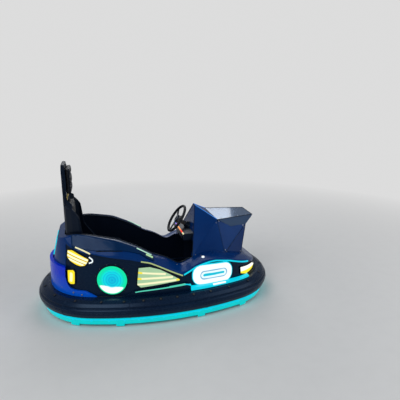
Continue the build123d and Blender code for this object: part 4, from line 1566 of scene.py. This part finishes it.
@dataclass
class Cushion:
    """A stuffed pad that fills out between its seams, over its bare CAD block."""

    node: str
    face: int
    seams: tuple[tuple[int, float], ...]
    cell: float = 0.0065
    slack: float = 0.003
    corner: float = 0.013
    pinned: float = 0.3
    draw: float = 0.007
    pressure: float = 4.0
    most: float = 0.012
    frames: int = 20
    welt_inset: float = 0.0035
    welt_depth: float = 0.011
    welt_radius: float = 0.0032
    stitch: float = 0.007
    stitch_step: float = 0.011
    stitch_off: float = 0.0045
    stitch_depth: float = 0.0035
    stitch_radius: float = 0.0008
    stitch_margin: float = 0.02

    @property
    def box(self) -> list[Vector]:
        """Lowest and highest corner of the CAD block."""
        return [Vector(corner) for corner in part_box(self.node)]

    def near_seam(self, point: Vector) -> bool:
        """Return whether a point lies on one of the sewn lines."""
        return any(abs(point[axis] - place) < self.cell * 0.6 for axis, place in self.seams)

    def block(self) -> bpy.types.Object:
        """Return the rounded and finely meshed block.

        Returns:
            The block's object.
        """
        low, high = self.box
        shape = bmesh.new()
        bmesh.ops.create_cube(shape, size=1.0)
        for vertex in shape.verts:
            spans = zip(low, high, vertex.co)
            vertex.co = Vector([(a + b) / 2 + part * (b - a - self.slack) for a, b, part in spans])
        bmesh.ops.bevel(
            shape, geom=shape.edges, offset=self.corner, segments=3, affect="EDGES", profile=0.5
        )
        data = bpy.data.meshes.new(f"{self.node}_stuffed")
        shape.to_mesh(data)
        shape.free()
        pad = add_object(f"{self.node}_stuffed", data)
        cells = pad.modifiers.new("cells", "REMESH")
        cells.mode = "VOXEL"
        cells.voxel_size = self.cell
        self.bake(pad)
        return pad

    def bake(self, pad: bpy.types.Object) -> None:
        """Turn the pad's modifiers into its mesh.

        Args:
            pad: The pad's object.
        """
        bpy.context.view_layer.update()
        shown = pad.evaluated_get(bpy.context.evaluated_depsgraph_get())
        pad.data = bpy.data.meshes.new_from_object(shown)
        pad.modifiers.clear()

    def sew(self, pad: bpy.types.Object) -> None:
        """Pin the back and the sewn lines, and draw the lines inwards.

        Args:
            pad: The pad's object.
        """
        low, high = self.box
        thick = high[self.face] - low[self.face]
        group = pad.vertex_groups.new(name="sewn")
        for vertex in pad.data.vertices:
            depth = (vertex.co[self.face] - low[self.face]) / thick
            sewn = self.near_seam(vertex.co)
            if depth < self.pinned or sewn:
                group.add([vertex.index], 1.0, "REPLACE")
            if sewn and depth > 0.5:
                vertex.co[self.face] -= self.draw

    def fill(self, pad: bpy.types.Object) -> None:
        """Blow the pad up with a cloth run and keep the movement small.

        Args:
            pad: The pad's object.
        """
        start = [vertex.co.copy() for vertex in pad.data.vertices]
        cloth = pad.modifiers.new("cloth", "CLOTH")
        cloth.settings.quality = 4
        cloth.settings.vertex_group_mass = "sewn"
        cloth.settings.use_pressure = True
        cloth.settings.uniform_pressure_force = self.pressure
        cloth.settings.effector_weights.gravity = 0.0
        cloth.point_cache.frame_start = 1
        cloth.point_cache.frame_end = self.frames
        for step in range(1, self.frames + 1):
            bpy.context.scene.frame_set(step)
        self.bake(pad)
        bpy.context.scene.frame_set(1)
        for vertex, before in zip(pad.data.vertices, start):
            moved = vertex.co - before
            if moved.length > self.most:
                vertex.co = before + moved.normalized() * self.most

    def build(self) -> None:
        """Build the stuffed pad, its piping and its stitches."""
        pad = self.block()
        self.sew(pad)
        self.fill(pad)
        pad.data.shade_smooth()
        pad.data.materials.clear()
        pad.data.materials.append(FINISHES["seat_vinyl"].material())
        smooth = pad.modifiers.new("smooth", "SUBSURF")
        smooth.levels = smooth.render_levels = 1
        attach(pad, Body.CHASSIS.value)
        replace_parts(pad, self.node)
        self.piping()
        LOG.info("built %s", pad.name)

    def piping(self) -> None:
        """Build the welt round the pad's face and the stitches along its seams."""
        low, high = self.box
        first, second = [axis for axis in range(3) if axis != self.face]

        def place(a: float, b: float, depth: float) -> Vector:
            """Return the place at two offsets across the pad and a depth under its face.

            Args:
                a: Offset along the first axis.
                b: Offset along the second axis.
                depth: Depth in metres.

            Returns:
                The place.
            """
            spot = Vector((0, 0, 0))
            spot[first], spot[second], spot[self.face] = a, b, high[self.face] - depth
            return spot

        inset = self.welt_inset
        corners = rectangle(
            (low[first] + inset, low[second] + inset), (high[first] - inset, high[second] - inset)
        )
        form = Form(f"{self.node}_welt")
        line = [place(*point, self.welt_depth) for point in resample(corners, 0.008, True, 3)]
        form.tube(line, self.welt_radius, 8, True)
        form.done("black_plastic")
        form = Form(f"{self.node}_stitches")
        for axis, spot in self.seams:
            other = second if axis == first else first
            count = int((high[other] - low[other] - 2 * self.stitch_margin) / self.stitch_step)
            for index in range(count):
                start = low[other] + self.stitch_margin + index * self.stitch_step
                for offset in (-self.stitch_off, self.stitch_off):
                    ends = [(spot + offset, start), (spot + offset, start + self.stitch)]
                    ends = ends if axis == first else [(b, a) for a, b in ends]
                    form.tube([place(*end, self.stitch_depth) for end in ends], self.stitch_radius, 5)
        form.done("thread")


@dataclass
class SeatTrim:
    """Edge roll, slot frames and fixings of the bucket seat."""

    edge: Points = (
        (-0.228, 0.223, 0.315), (-0.228, 0.223, 0.358), (-0.3, 0.223, 0.429), (-0.5, 0.223, 0.47),
        (-0.589, 0.222, 0.6), (-0.609, 0.222, 0.77), (-0.645, 0.212, 0.822), (-0.69, 0.2, 0.845),
        (-0.7025, 0.194, 0.851), (-0.7025, 0.127, 0.906), (-0.7025, 0.144, 1.0),
        (-0.7025, 0.136, 1.115), (-0.7025, 0.104, 1.145),
    )
    edge_radius: float = 0.0055
    slot: Point = (-0.6895, 0.062, 0.89)
    slot_half: Pair = (0.033, 0.015)
    slot_radius: float = 0.0035
    flank_y: float = 0.2345
    flank_bolts: Pairs = ((-0.3, 0.33), (-0.44, 0.33), (-0.58, 0.33), (-0.58, 0.43))
    back_bolts: Points = ((-0.7155, 0.09, 0.98), (-0.7155, 0.09, 1.08))

    def build(self) -> None:
        """Build the seat's small hard parts."""
        left = [Vector(point) for point in self.edge]
        right = [Side.RIGHT.put(*point) for point in reversed(left)]
        form = Form("seat_edge_roll")
        form.tube(resample(left + right, 0.01), self.edge_radius)
        form.done("black_plastic")
        form = Form("seat_slot_frames")
        across, up = self.slot_half
        loop = resample(rectangle((-across, -up), (across, up)), 0.004, True, 2)
        for side in Side:
            middle = side.put(*self.slot)
            form.tube([middle + Vector((0, a, b)) for a, b in loop], self.slot_radius, 8, True)
        form.done("brass")
        form = Form("seat_bolts")
        for side in Side:
            flank = [side.put(x, self.flank_y, z) for x, z in self.flank_bolts]
            back = [side.put(*place) for place in self.back_bolts]
            form.bolts(flank, side.outward, 0.006, 0.005)
            form.bolts(back, Vector((-1, 0, 0)), 0.005, 0.004)
        form.done("bare_steel")


@dataclass
class SteeringWheel:
    """Grip, cap, bolts and column boot on the raked steering axis."""

    centre: Point = (0.175, 0.0, 0.64)
    rake: float = 35.0
    radius: float = 0.119
    grip: float = 0.0112
    grip_steps: int = 144
    grip_sides: int = 16
    swell: float = 0.0006
    swells: int = 36
    cap: Pairs = ((0, -0.006), (0.031, -0.006), (0.033, -0.002), (0.03, 0.003), (0.016, 0.007), (0, 0.008))
    cap_ring: Pairs = ((0.0185, 0.004), (0.024, 0.003), (0.0245, 0.0055), (0.019, 0.0075))
    spokes: Row = (30, 150, 270)
    spoke_bolts: Row = (0.045, 0.088)
    spoke_face: float = -0.003
    boot_top: float = -0.088
    boot_end: float = -0.13
    boot_bore: float = 0.0172
    folds: int = 6

    @property
    def place(self) -> Matrix:
        """Frame at the wheel whose Z points to the driver."""
        lean = math.radians(self.rake)
        return aim(Vector(self.centre), Vector((-math.cos(lean), 0, math.sin(lean))))

    def build(self) -> None:
        """Build the wheel's pieces and the boot on its column."""
        place = self.place
        form = Form("steering_grip")
        rings = []
        for turn in full_turn(self.grip_steps):
            thick = self.grip + self.swell * math.cos(turn * self.swells)
            angles = full_turn(self.grip_sides)
            section = [Vector((self.radius + thick * math.cos(a), 0, thick * math.sin(a))) for a in angles]
            rings.append([spin(place, turn) @ point for point in section])
        form.loft(rings, True)
        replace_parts(form.done("seat_vinyl", Body.STEERING, 60), "steering_rim")
        for name, profile, finish in (
            ("steering_cap", self.cap, "black_plastic"),
            ("steering_cap_ring", self.cap_ring, "bare_steel"),
        ):
            form = Form(name)
            form.lathe(profile, place, 48)
            form.done(finish, Body.STEERING)
        form = Form("steering_bolts")
        for turn in self.spokes:
            for reach in self.spoke_bolts:
                spot = Matrix.Translation((reach, 0, self.spoke_face))
                form.bolt(spin(place, math.radians(turn)) @ spot, 0.0045, 0.004)
        form.done("bare_steel", Body.STEERING)
        form = Form("column_boot")
        folds = [
            (0.019 + 0.0035 * index + 0.004 * (index % 2), self.boot_top - 0.007 * index)
            for index in range(self.folds)
        ]
        form.lathe([(self.boot_bore, self.boot_top), *folds, (self.boot_bore, self.boot_end)], place)
        form.done("black_plastic", sharp=60)


@dataclass
class CowlTrim:
    """Plates, seams, a painted edge highlight, lights and fasteners of the angular cowl, its wing and the
    console.
    """

    peak: Point = (0.328, 0.022, 0.754)
    brow: Point = (0.477, 0.18, 0.662)
    knee: Point = (0.235, 0.312, 0.405)
    hip: Point = (0.52, 0.266, 0.388)
    lip: Point = (0.75, 0.128, 0.584)
    toe: Point = (0.707, 0.15, 0.334)
    tip: Point = (0.812, 0.118, 0.662)
    wing_root: Point = (0.477, 0.192, 0.661)
    plates: tuple[tuple[str, Points], ...] = (
        ("cowl_cheek", (peak, brow, knee)),
        ("cowl_flank", (brow, hip, knee)),
    )
    seams: tuple[tuple[str, Points, float, str], ...] = (
        # Glowing rod along the cowl's edge from peak to brow: a painted highlight of that edge
        ("brow_highlight", (peak, brow), 0.0028, "sky_light"),
        ("flank_seam", (brow, hip), 0.0022, "dark_panel"),
        ("lip_seam", (hip, lip), 0.0022, "dark_panel"),
        ("toe_seam", (lip, toe), 0.0022, "dark_panel"),
        ("knee_edge", (peak, knee), 0.003, "black_plastic"),
        ("wing_edge", (wing_root, tip), 0.0028, "black_plastic"),
    )
    facets: tuple[Points, ...] = ((brow, knee, hip), (brow, hip, lip), (hip, lip, toe))
    screw: tuple[float, float, int] = (0.0035, 0.0025, 12)
    screw_share: float = 0.16
    wing_screws: Row = (0.52, 0.6, 0.68, 0.76)
    wing_taper: float = 0.22
    wing_margin: float = 0.022
    wing_top: float = 0.662
    # The console's lights: name, right end, left end, finish
    lights: tuple[tuple[str, float, float, str], ...] = (
        ("console_light_blue", 0.12, 0.185, "sky_light"),
        ("console_light_violet", 0.03, 0.115, "violet_light"),
        ("console_light_amber", -0.075, 0.02, "amber_light"),
        ("console_light_red", -0.145, -0.08, "red_light"),
        ("console_light_yellow", -0.185, -0.15, "warm_light"),
    )
    console_x: float = 0.1935
    console_z: float = 0.5565

    def facet(self, points: Sequence[Point], side: Side) -> tuple[Line, Vector, Vector]:
        """Return a facet's corners, its middle and its outward direction on one side.

        Args:
            points: The facet's corners on the left.
            side: The side.

        Returns:
            Corners, middle and direction.
        """
        corners = [side.put(*point) for point in points]
        out = (corners[1] - corners[0]).cross(corners[2] - corners[0]).normalized()
        return corners, sum(corners, Vector()) / 3, out if out.y * side.value > 0 else -out

    def flank(self, side: Side) -> None:
        """Close and trim the cowl's flank.

        Args:
            side: The side to trim.
        """
        for name, points in self.plates:
            corners, middle, out = self.facet(points, side)
            corners = [corner.lerp(middle, 0.012) for corner in corners]
            form = Form(name, side)
            form.loft([corner + out * height for corner in corners] for height in (0.0012, -0.003))
            form.done("blue_shell", bevel=0.0006)
        for name, points, radius, finish in self.seams:
            form = Form(name, side)
            form.tube(resample([side.put(*point) for point in points], 0.01, rounds=1), radius, 8)
            form.done(finish)
        form = Form("cowl_screws", side)
        for points in self.facets:
            corners, middle, out = self.facet(points, side)
            form.bolts([corner.lerp(middle, self.screw_share) for corner in corners], out, *self.screw)
        edge = self.wing_root[1] - self.wing_margin
        along = [(x, edge - (x - self.wing_root[0]) * self.wing_taper) for x in self.wing_screws]
        form.bolts([side.put(x, y, self.wing_top) for x, y in along], UP, *self.screw)
        form.done("bare_steel")

    def build(self) -> None:
        """Build the trim of both sides and the console's lights."""
        for side in Side:
            self.flank(side)
        form = Form("wing_tip_edge")
        form.tube([side.put(*self.tip) for side in Side], 0.0028, 8)
        form.done("black_plastic")
        for name, low, high, finish in self.lights:
            form = Form(name)
            form.tube([Vector((self.console_x, y, self.console_z)) for y in (low, high)], 0.006)
            form.done(finish)


@dataclass
class Cockpit:
    """Opening roll, kick panel, floor mat and the pedal's ribs and bolts."""

    roll: Pairs = (*OPENING[1:6], (0.22, 0.3))
    roll_radius: float = 0.0065
    liner_wall: float = 0.006
    kick_height: Pair = (0.0655, 0.152)
    bead_inset: float = 0.009
    mat: Pairs = ((-0.2, -0.17), (0.285, 0.17))
    mat_height: Pair = (0.0665, 0.0705)
    mat_ribs: int = 19
    mat_rib_start: float = -0.175
    mat_rib_step: float = 0.024
    mat_rib_half: float = 0.15
    pedal: tuple[Point, Point] = ((0.3005, 0.0, 0.075), (0.3115, 0.0, 0.2))
    pedal_ribs: int = 7
    pedal_rib_start: float = 0.12
    pedal_rib_step: float = 0.13
    pedal_rib_half: float = 0.036
    pedal_bolt: Point = (0.36, 0.03, 0.092)

    def kick_panel(self) -> None:
        """Carry the cockpit's inner wall on down to the floor pan."""
        half = self.liner_wall / 2
        left = [Vector((x, y + half)) for x, y in OPENING]
        left[0].x -= half
        left[-1].x += half
        right = [Vector((point.x, -point.y)) for point in reversed(left)]
        form = Form("kick_panel")
        form.band(left + right, half, *self.kick_height, lambda x, y, z: Vector((x, y, z)), True)
        form.done("black_plastic")
        form = Form("kick_panel_bead")
        inner = [point * (1 - self.bead_inset / point.length) for point in left + right]
        form.tube([point.to_3d() + UP * self.kick_height[1] for point in inner], 0.0035, 8, True)
        form.done("bumper_rubber")

    def rib(self, form: Form, middle: Vector, half: float, radius: float, sides: int) -> None:
        """Lay a rib from side to side over a middle point."""
        form.tube([middle + Vector((0, y, 0)) for y in (-half, half)], radius, sides)

    def build(self) -> None:
        """Build the cockpit's trim."""
        self.kick_panel()
        for side in Side:
            form = Form("opening_roll", side)
            line = [Shoulder(side).flat(x, y, 0.001) for x, y in resample(self.roll, 0.014)]
            form.tube(line, self.roll_radius)
            form.done("black_plastic")
        form = Form("floor_mat")
        mat = resample(rectangle(*self.mat), 0.02, True)
        form.loft([point.to_3d() + UP * height for point in mat] for height in self.mat_height)
        for index in range(self.mat_ribs):
            middle = Vector((self.mat_rib_start + index * self.mat_rib_step, 0, self.mat_height[1]))
            self.rib(form, middle, self.mat_rib_half, 0.0028, 6)
        form.done("bumper_rubber")
        form = Form("pedal_ribs")
        foot, top = (Vector(end) for end in self.pedal)
        for index in range(self.pedal_ribs):
            middle = foot.lerp(top, self.pedal_rib_start + index * self.pedal_rib_step)
            self.rib(form, middle, self.pedal_rib_half, 0.003, 8)
        form.done("black_plastic")
        form = Form("pedal_bolts")
        form.bolts([side.put(*self.pedal_bolt) for side in Side], UP, 0.005, 0.004)
        form.done("bare_steel")


@dataclass
class Underside:
    """Fixings and straps of the chassis, the axle, the fork and the battery."""

    pan_x: Row = (-0.6, -0.3, -0.1, 0.1, 0.3)
    pan_y: Row = (-0.45, -0.262, 0.0, 0.262, 0.45)
    pan_z: float = 0.06
    pan_reach: float = 0.75
    # Bolts that point up: places, radius, height
    frame_bolts: tuple[tuple[Points, float, float], ...] = (
        (((-0.46, 0.25, 0.12), (-0.42, 0.25, 0.12)), 0.006, 0.005),
        (((0.52, 0.205, 0.252), (0.6, 0.205, 0.252)), 0.006, 0.005),
        (((0.52, 0.05, 0.34), (0.6, 0.05, 0.34)), 0.005, 0.004),
    )
    axle_end: Point = (-0.44, 0.372, 0.1)
    strap: Pairs = ((-0.4, 0.09), (-0.4, 0.29), (-0.215, 0.29), (-0.215, 0.09))
    strap_half: float = 0.015
    strap_y: Row = (-0.12, 0.12)
    fork_end: Point = (0.56, 0.066, 0.1)
    fork_bolts: Points = ((0.543, 0.0602, 0.195), (0.577, 0.0602, 0.195))

    def build(self) -> None:
        """Build the small parts of the chassis."""
        form = Form("pan_bolts")
        pan = [(x, y) for x in self.pan_x for y in self.pan_y if abs(x) + abs(y) * 0.4 < self.pan_reach]
        form.bolts([Vector((*place, self.pan_z)) for place in pan], -UP, 0.006, 0.004)
        for side in Side:
            for places, radius, height in self.frame_bolts:
                form.bolts([side.put(*place) for place in places], UP, radius, height)
            form.bolts([side.put(*self.axle_end)], side.outward, 0.01, 0.008)
        form.done("bare_steel")
        form = Form("battery_straps")
        line = resample(self.strap, 0.01, rounds=1)
        for y in self.strap_y:
            span = (y - self.strap_half, y + self.strap_half)
            form.band(line, 0.0015, *span, lambda x, z, y: Vector((x, y, z)))
        form.done("black_plastic")
        form = Form("fork_fixings")
        for side in Side:
            form.bolts([side.put(*self.fork_end)], side.outward, 0.009, 0.007)
            form.bolts([side.put(*place) for place in self.fork_bolts], side.outward, 0.005, 0.004)
        form.done("bare_steel", Body.FORK)


@dataclass
class ShellTrim:
    """Screws of the blue shell and the tail cover."""

    screw_x: Row = (-0.62, -0.5, -0.42, -0.05, 0.1, 0.3)
    screw_margin: float = 0.012
    tail_inset: float = 0.116
    # Places on the tail in the side view: x, z, how proud of the cover's wall
    tail_places: Points = (
        (-0.62, 0.225, 0.009), (-0.68, 0.235, 0.009), (-0.76, 0.25, 0.0), (-0.76, 0.39, 0.0),
        (-0.83, 0.25, 0.0), (-0.83, 0.39, 0.0),
    )

    def build(self) -> None:
        """Build the screws of both sides."""
        for side in Side:
            shell = Shoulder(side)
            form = Form("shell_screws", side)
            spots = [shell.flat(x, shell.profile(x)[0] - self.screw_margin, 0.0) for x in self.screw_x]
            form.bolts(spots, UP, 0.0038, 0.0025, 12)
            form.done("bare_steel")
            wall = BodyWall(side, inset=self.tail_inset)
            form = Form("tail_screws", side)
            for place in self.tail_places:
                form.bolt(wall.seat(*place), 0.004, 0.003, 12)
            form.done("bare_steel")


@dataclass
class Studio:
    """Pale floor, soft lamps and the camera of the photograph."""

    eye: Point = (-0.47697, -3.21656, 1.62)
    forward: Point = (0.24994, 0.93727, -0.24303)
    lens: float = 36.23
    sensor: float = 36.0
    floor_grey: float = 0.72
    floor_reach: float = 60.0
    backdrop: float = 0.72
    fade_span: Pair = (1.6, 5.0)
    ambient: float = 0.32
    target: Point = (0.0, 0.0, 0.4)
    lamp_size: float = 3.0
    # Square soft lamps: name, place, power in watts
    lamps: tuple[tuple[str, Point, float], ...] = (
        ("key_lamp", (-2.5, -3.0, 3.5), 90),
        ("fill_lamp", (3.5, -2.0, 2.5), 40),
        ("rim_lamp", (0.5, 3.5, 3.0), 60),
    )

    def fade(self, sheet: NodeSheet) -> None:
        """Fade the far floor into the backdrop, for the camera alone.

        Args:
            sheet: The floor's node tree.
        """
        path = sheet.node("LightPath").outputs["Is Camera Ray"]
        reach = sheet.length(sheet.axis("X"), sheet.axis("Y"))
        far = sheet.between(reach, self.fade_span, (0.0, 1.0))
        shown = sheet.node("Emission")
        shown.inputs["Color"].default_value = (self.backdrop,) * 3 + (1,)
        choice = sheet.node("MixShader")
        sheet.link(sheet.times(far, path), choice.inputs[0])
        sheet.link(sheet.shader.outputs[0], choice.inputs[1])
        sheet.link(shown.outputs[0], choice.inputs[2])
        sheet.link(choice.outputs[0], sheet.output.inputs["Surface"])

    def floor(self) -> None:
        """Build the floor sheet with its finish."""
        mesh = bpy.data.meshes.new("studio_floor")
        far = self.floor_reach
        mesh.from_pydata([(x, y, 0) for x, y in rectangle((-far, -far), (far, far))], [], [(0, 1, 2, 3)])
        sheet = add_object("studio_floor", mesh)
        finish = Finish("studio_floor", (self.floor_grey,) * 3, (self.floor_grey * 0.98,) * 3, 0.8, 0.85)
        paving = NodeSheet("studio_floor_finish")
        finish.dress(paving)
        self.fade(paving)
        mesh.materials.append(paving.material)

    def world(self) -> None:
        """Build a pale background that lights the kart less than it shows."""
        world = bpy.data.worlds.new("studio_world")
        world.use_nodes = True
        tree = world.node_tree
        shown, soft = tree.nodes["Background"], tree.nodes.new("ShaderNodeBackground")
        for node, colour, strength in (
            (shown, (1, 1, 1, 1), self.backdrop),
            (soft, (0.9, 0.95, 1, 1), self.ambient),
        ):
            node.inputs["Color"].default_value = colour
            node.inputs["Strength"].default_value = strength
        path = tree.nodes.new("ShaderNodeLightPath")
        choice = tree.nodes.new("ShaderNodeMixShader")
        sources = (path.outputs["Is Camera Ray"], soft.outputs[0], shown.outputs[0])
        for source, target in zip(sources, choice.inputs):
            tree.links.new(source, target)
        tree.links.new(choice.outputs[0], tree.nodes["World Output"].inputs["Surface"])
        bpy.context.scene.world = world

    def stand(self, thing: bpy.types.Object, place: Point, look: Vector) -> None:
        """Put a lamp or the camera at a place and turn it to look in a direction."""
        thing.location = place
        thing.rotation_euler = look.to_track_quat("-Z", "Y").to_euler()

    def build(self) -> None:
        """Set up floor, light, view transform and camera."""
        self.floor()
        self.world()
        for name, place, power in self.lamps:
            data = bpy.data.lights.new(name, "AREA")
            data.size = self.lamp_size
            data.energy = power
            self.stand(add_object(name, data), place, Vector(self.target) - Vector(place))
        data = bpy.data.cameras.new("photo_view")
        data.sensor_width = self.sensor
        data.lens = self.lens
        camera = add_object("photo_view", data)
        self.stand(camera, self.eye, Vector(self.forward))
        bpy.context.scene.camera = camera
        bpy.context.scene.view_settings.view_transform = "Standard"


def main() -> None:
    """Build every sub-assembly in order."""
    logging.basicConfig(level=logging.INFO, format="%(message)s")
    dress_nodes()
    ShellSkin().build()
    for side in Side:
        LightLines().build(side)
        LampTrim().build(side)
    BumperTrim().build()
    for tyre, body, centre, width, bore in (
        ("rear_tyre_left", Body.REAR_LEFT, (-0.44, 0.343, 0.1), 0.05, 0.062),
        ("rear_tyre_right", Body.REAR_RIGHT, (-0.44, -0.343, 0.1), 0.05, 0.062),
        ("drive_tyre", Body.DRIVE, (0.56, 0.0, 0.1), 0.064, 0.064),
    ):
        Wheel(tyre, body, centre, width, bore).build()
    for node, face, seams in (
        ("seat_cushion", 2, ((0, -0.36), (0, -0.5))),
        ("back_pad", 0, ((2, 0.42), (2, 0.52), (2, 0.62), (2, 0.72))),
        ("head_pad", 0, ((2, 0.985), (2, 1.06))),
    ):
        Cushion(node, face, seams).build()
    for assembly in (SeatTrim(), SteeringWheel(), CowlTrim(), Cockpit(), Underside(), ShellTrim()):
        assembly.build()
    Studio().build()


if __name__ == "__main__":
    main()
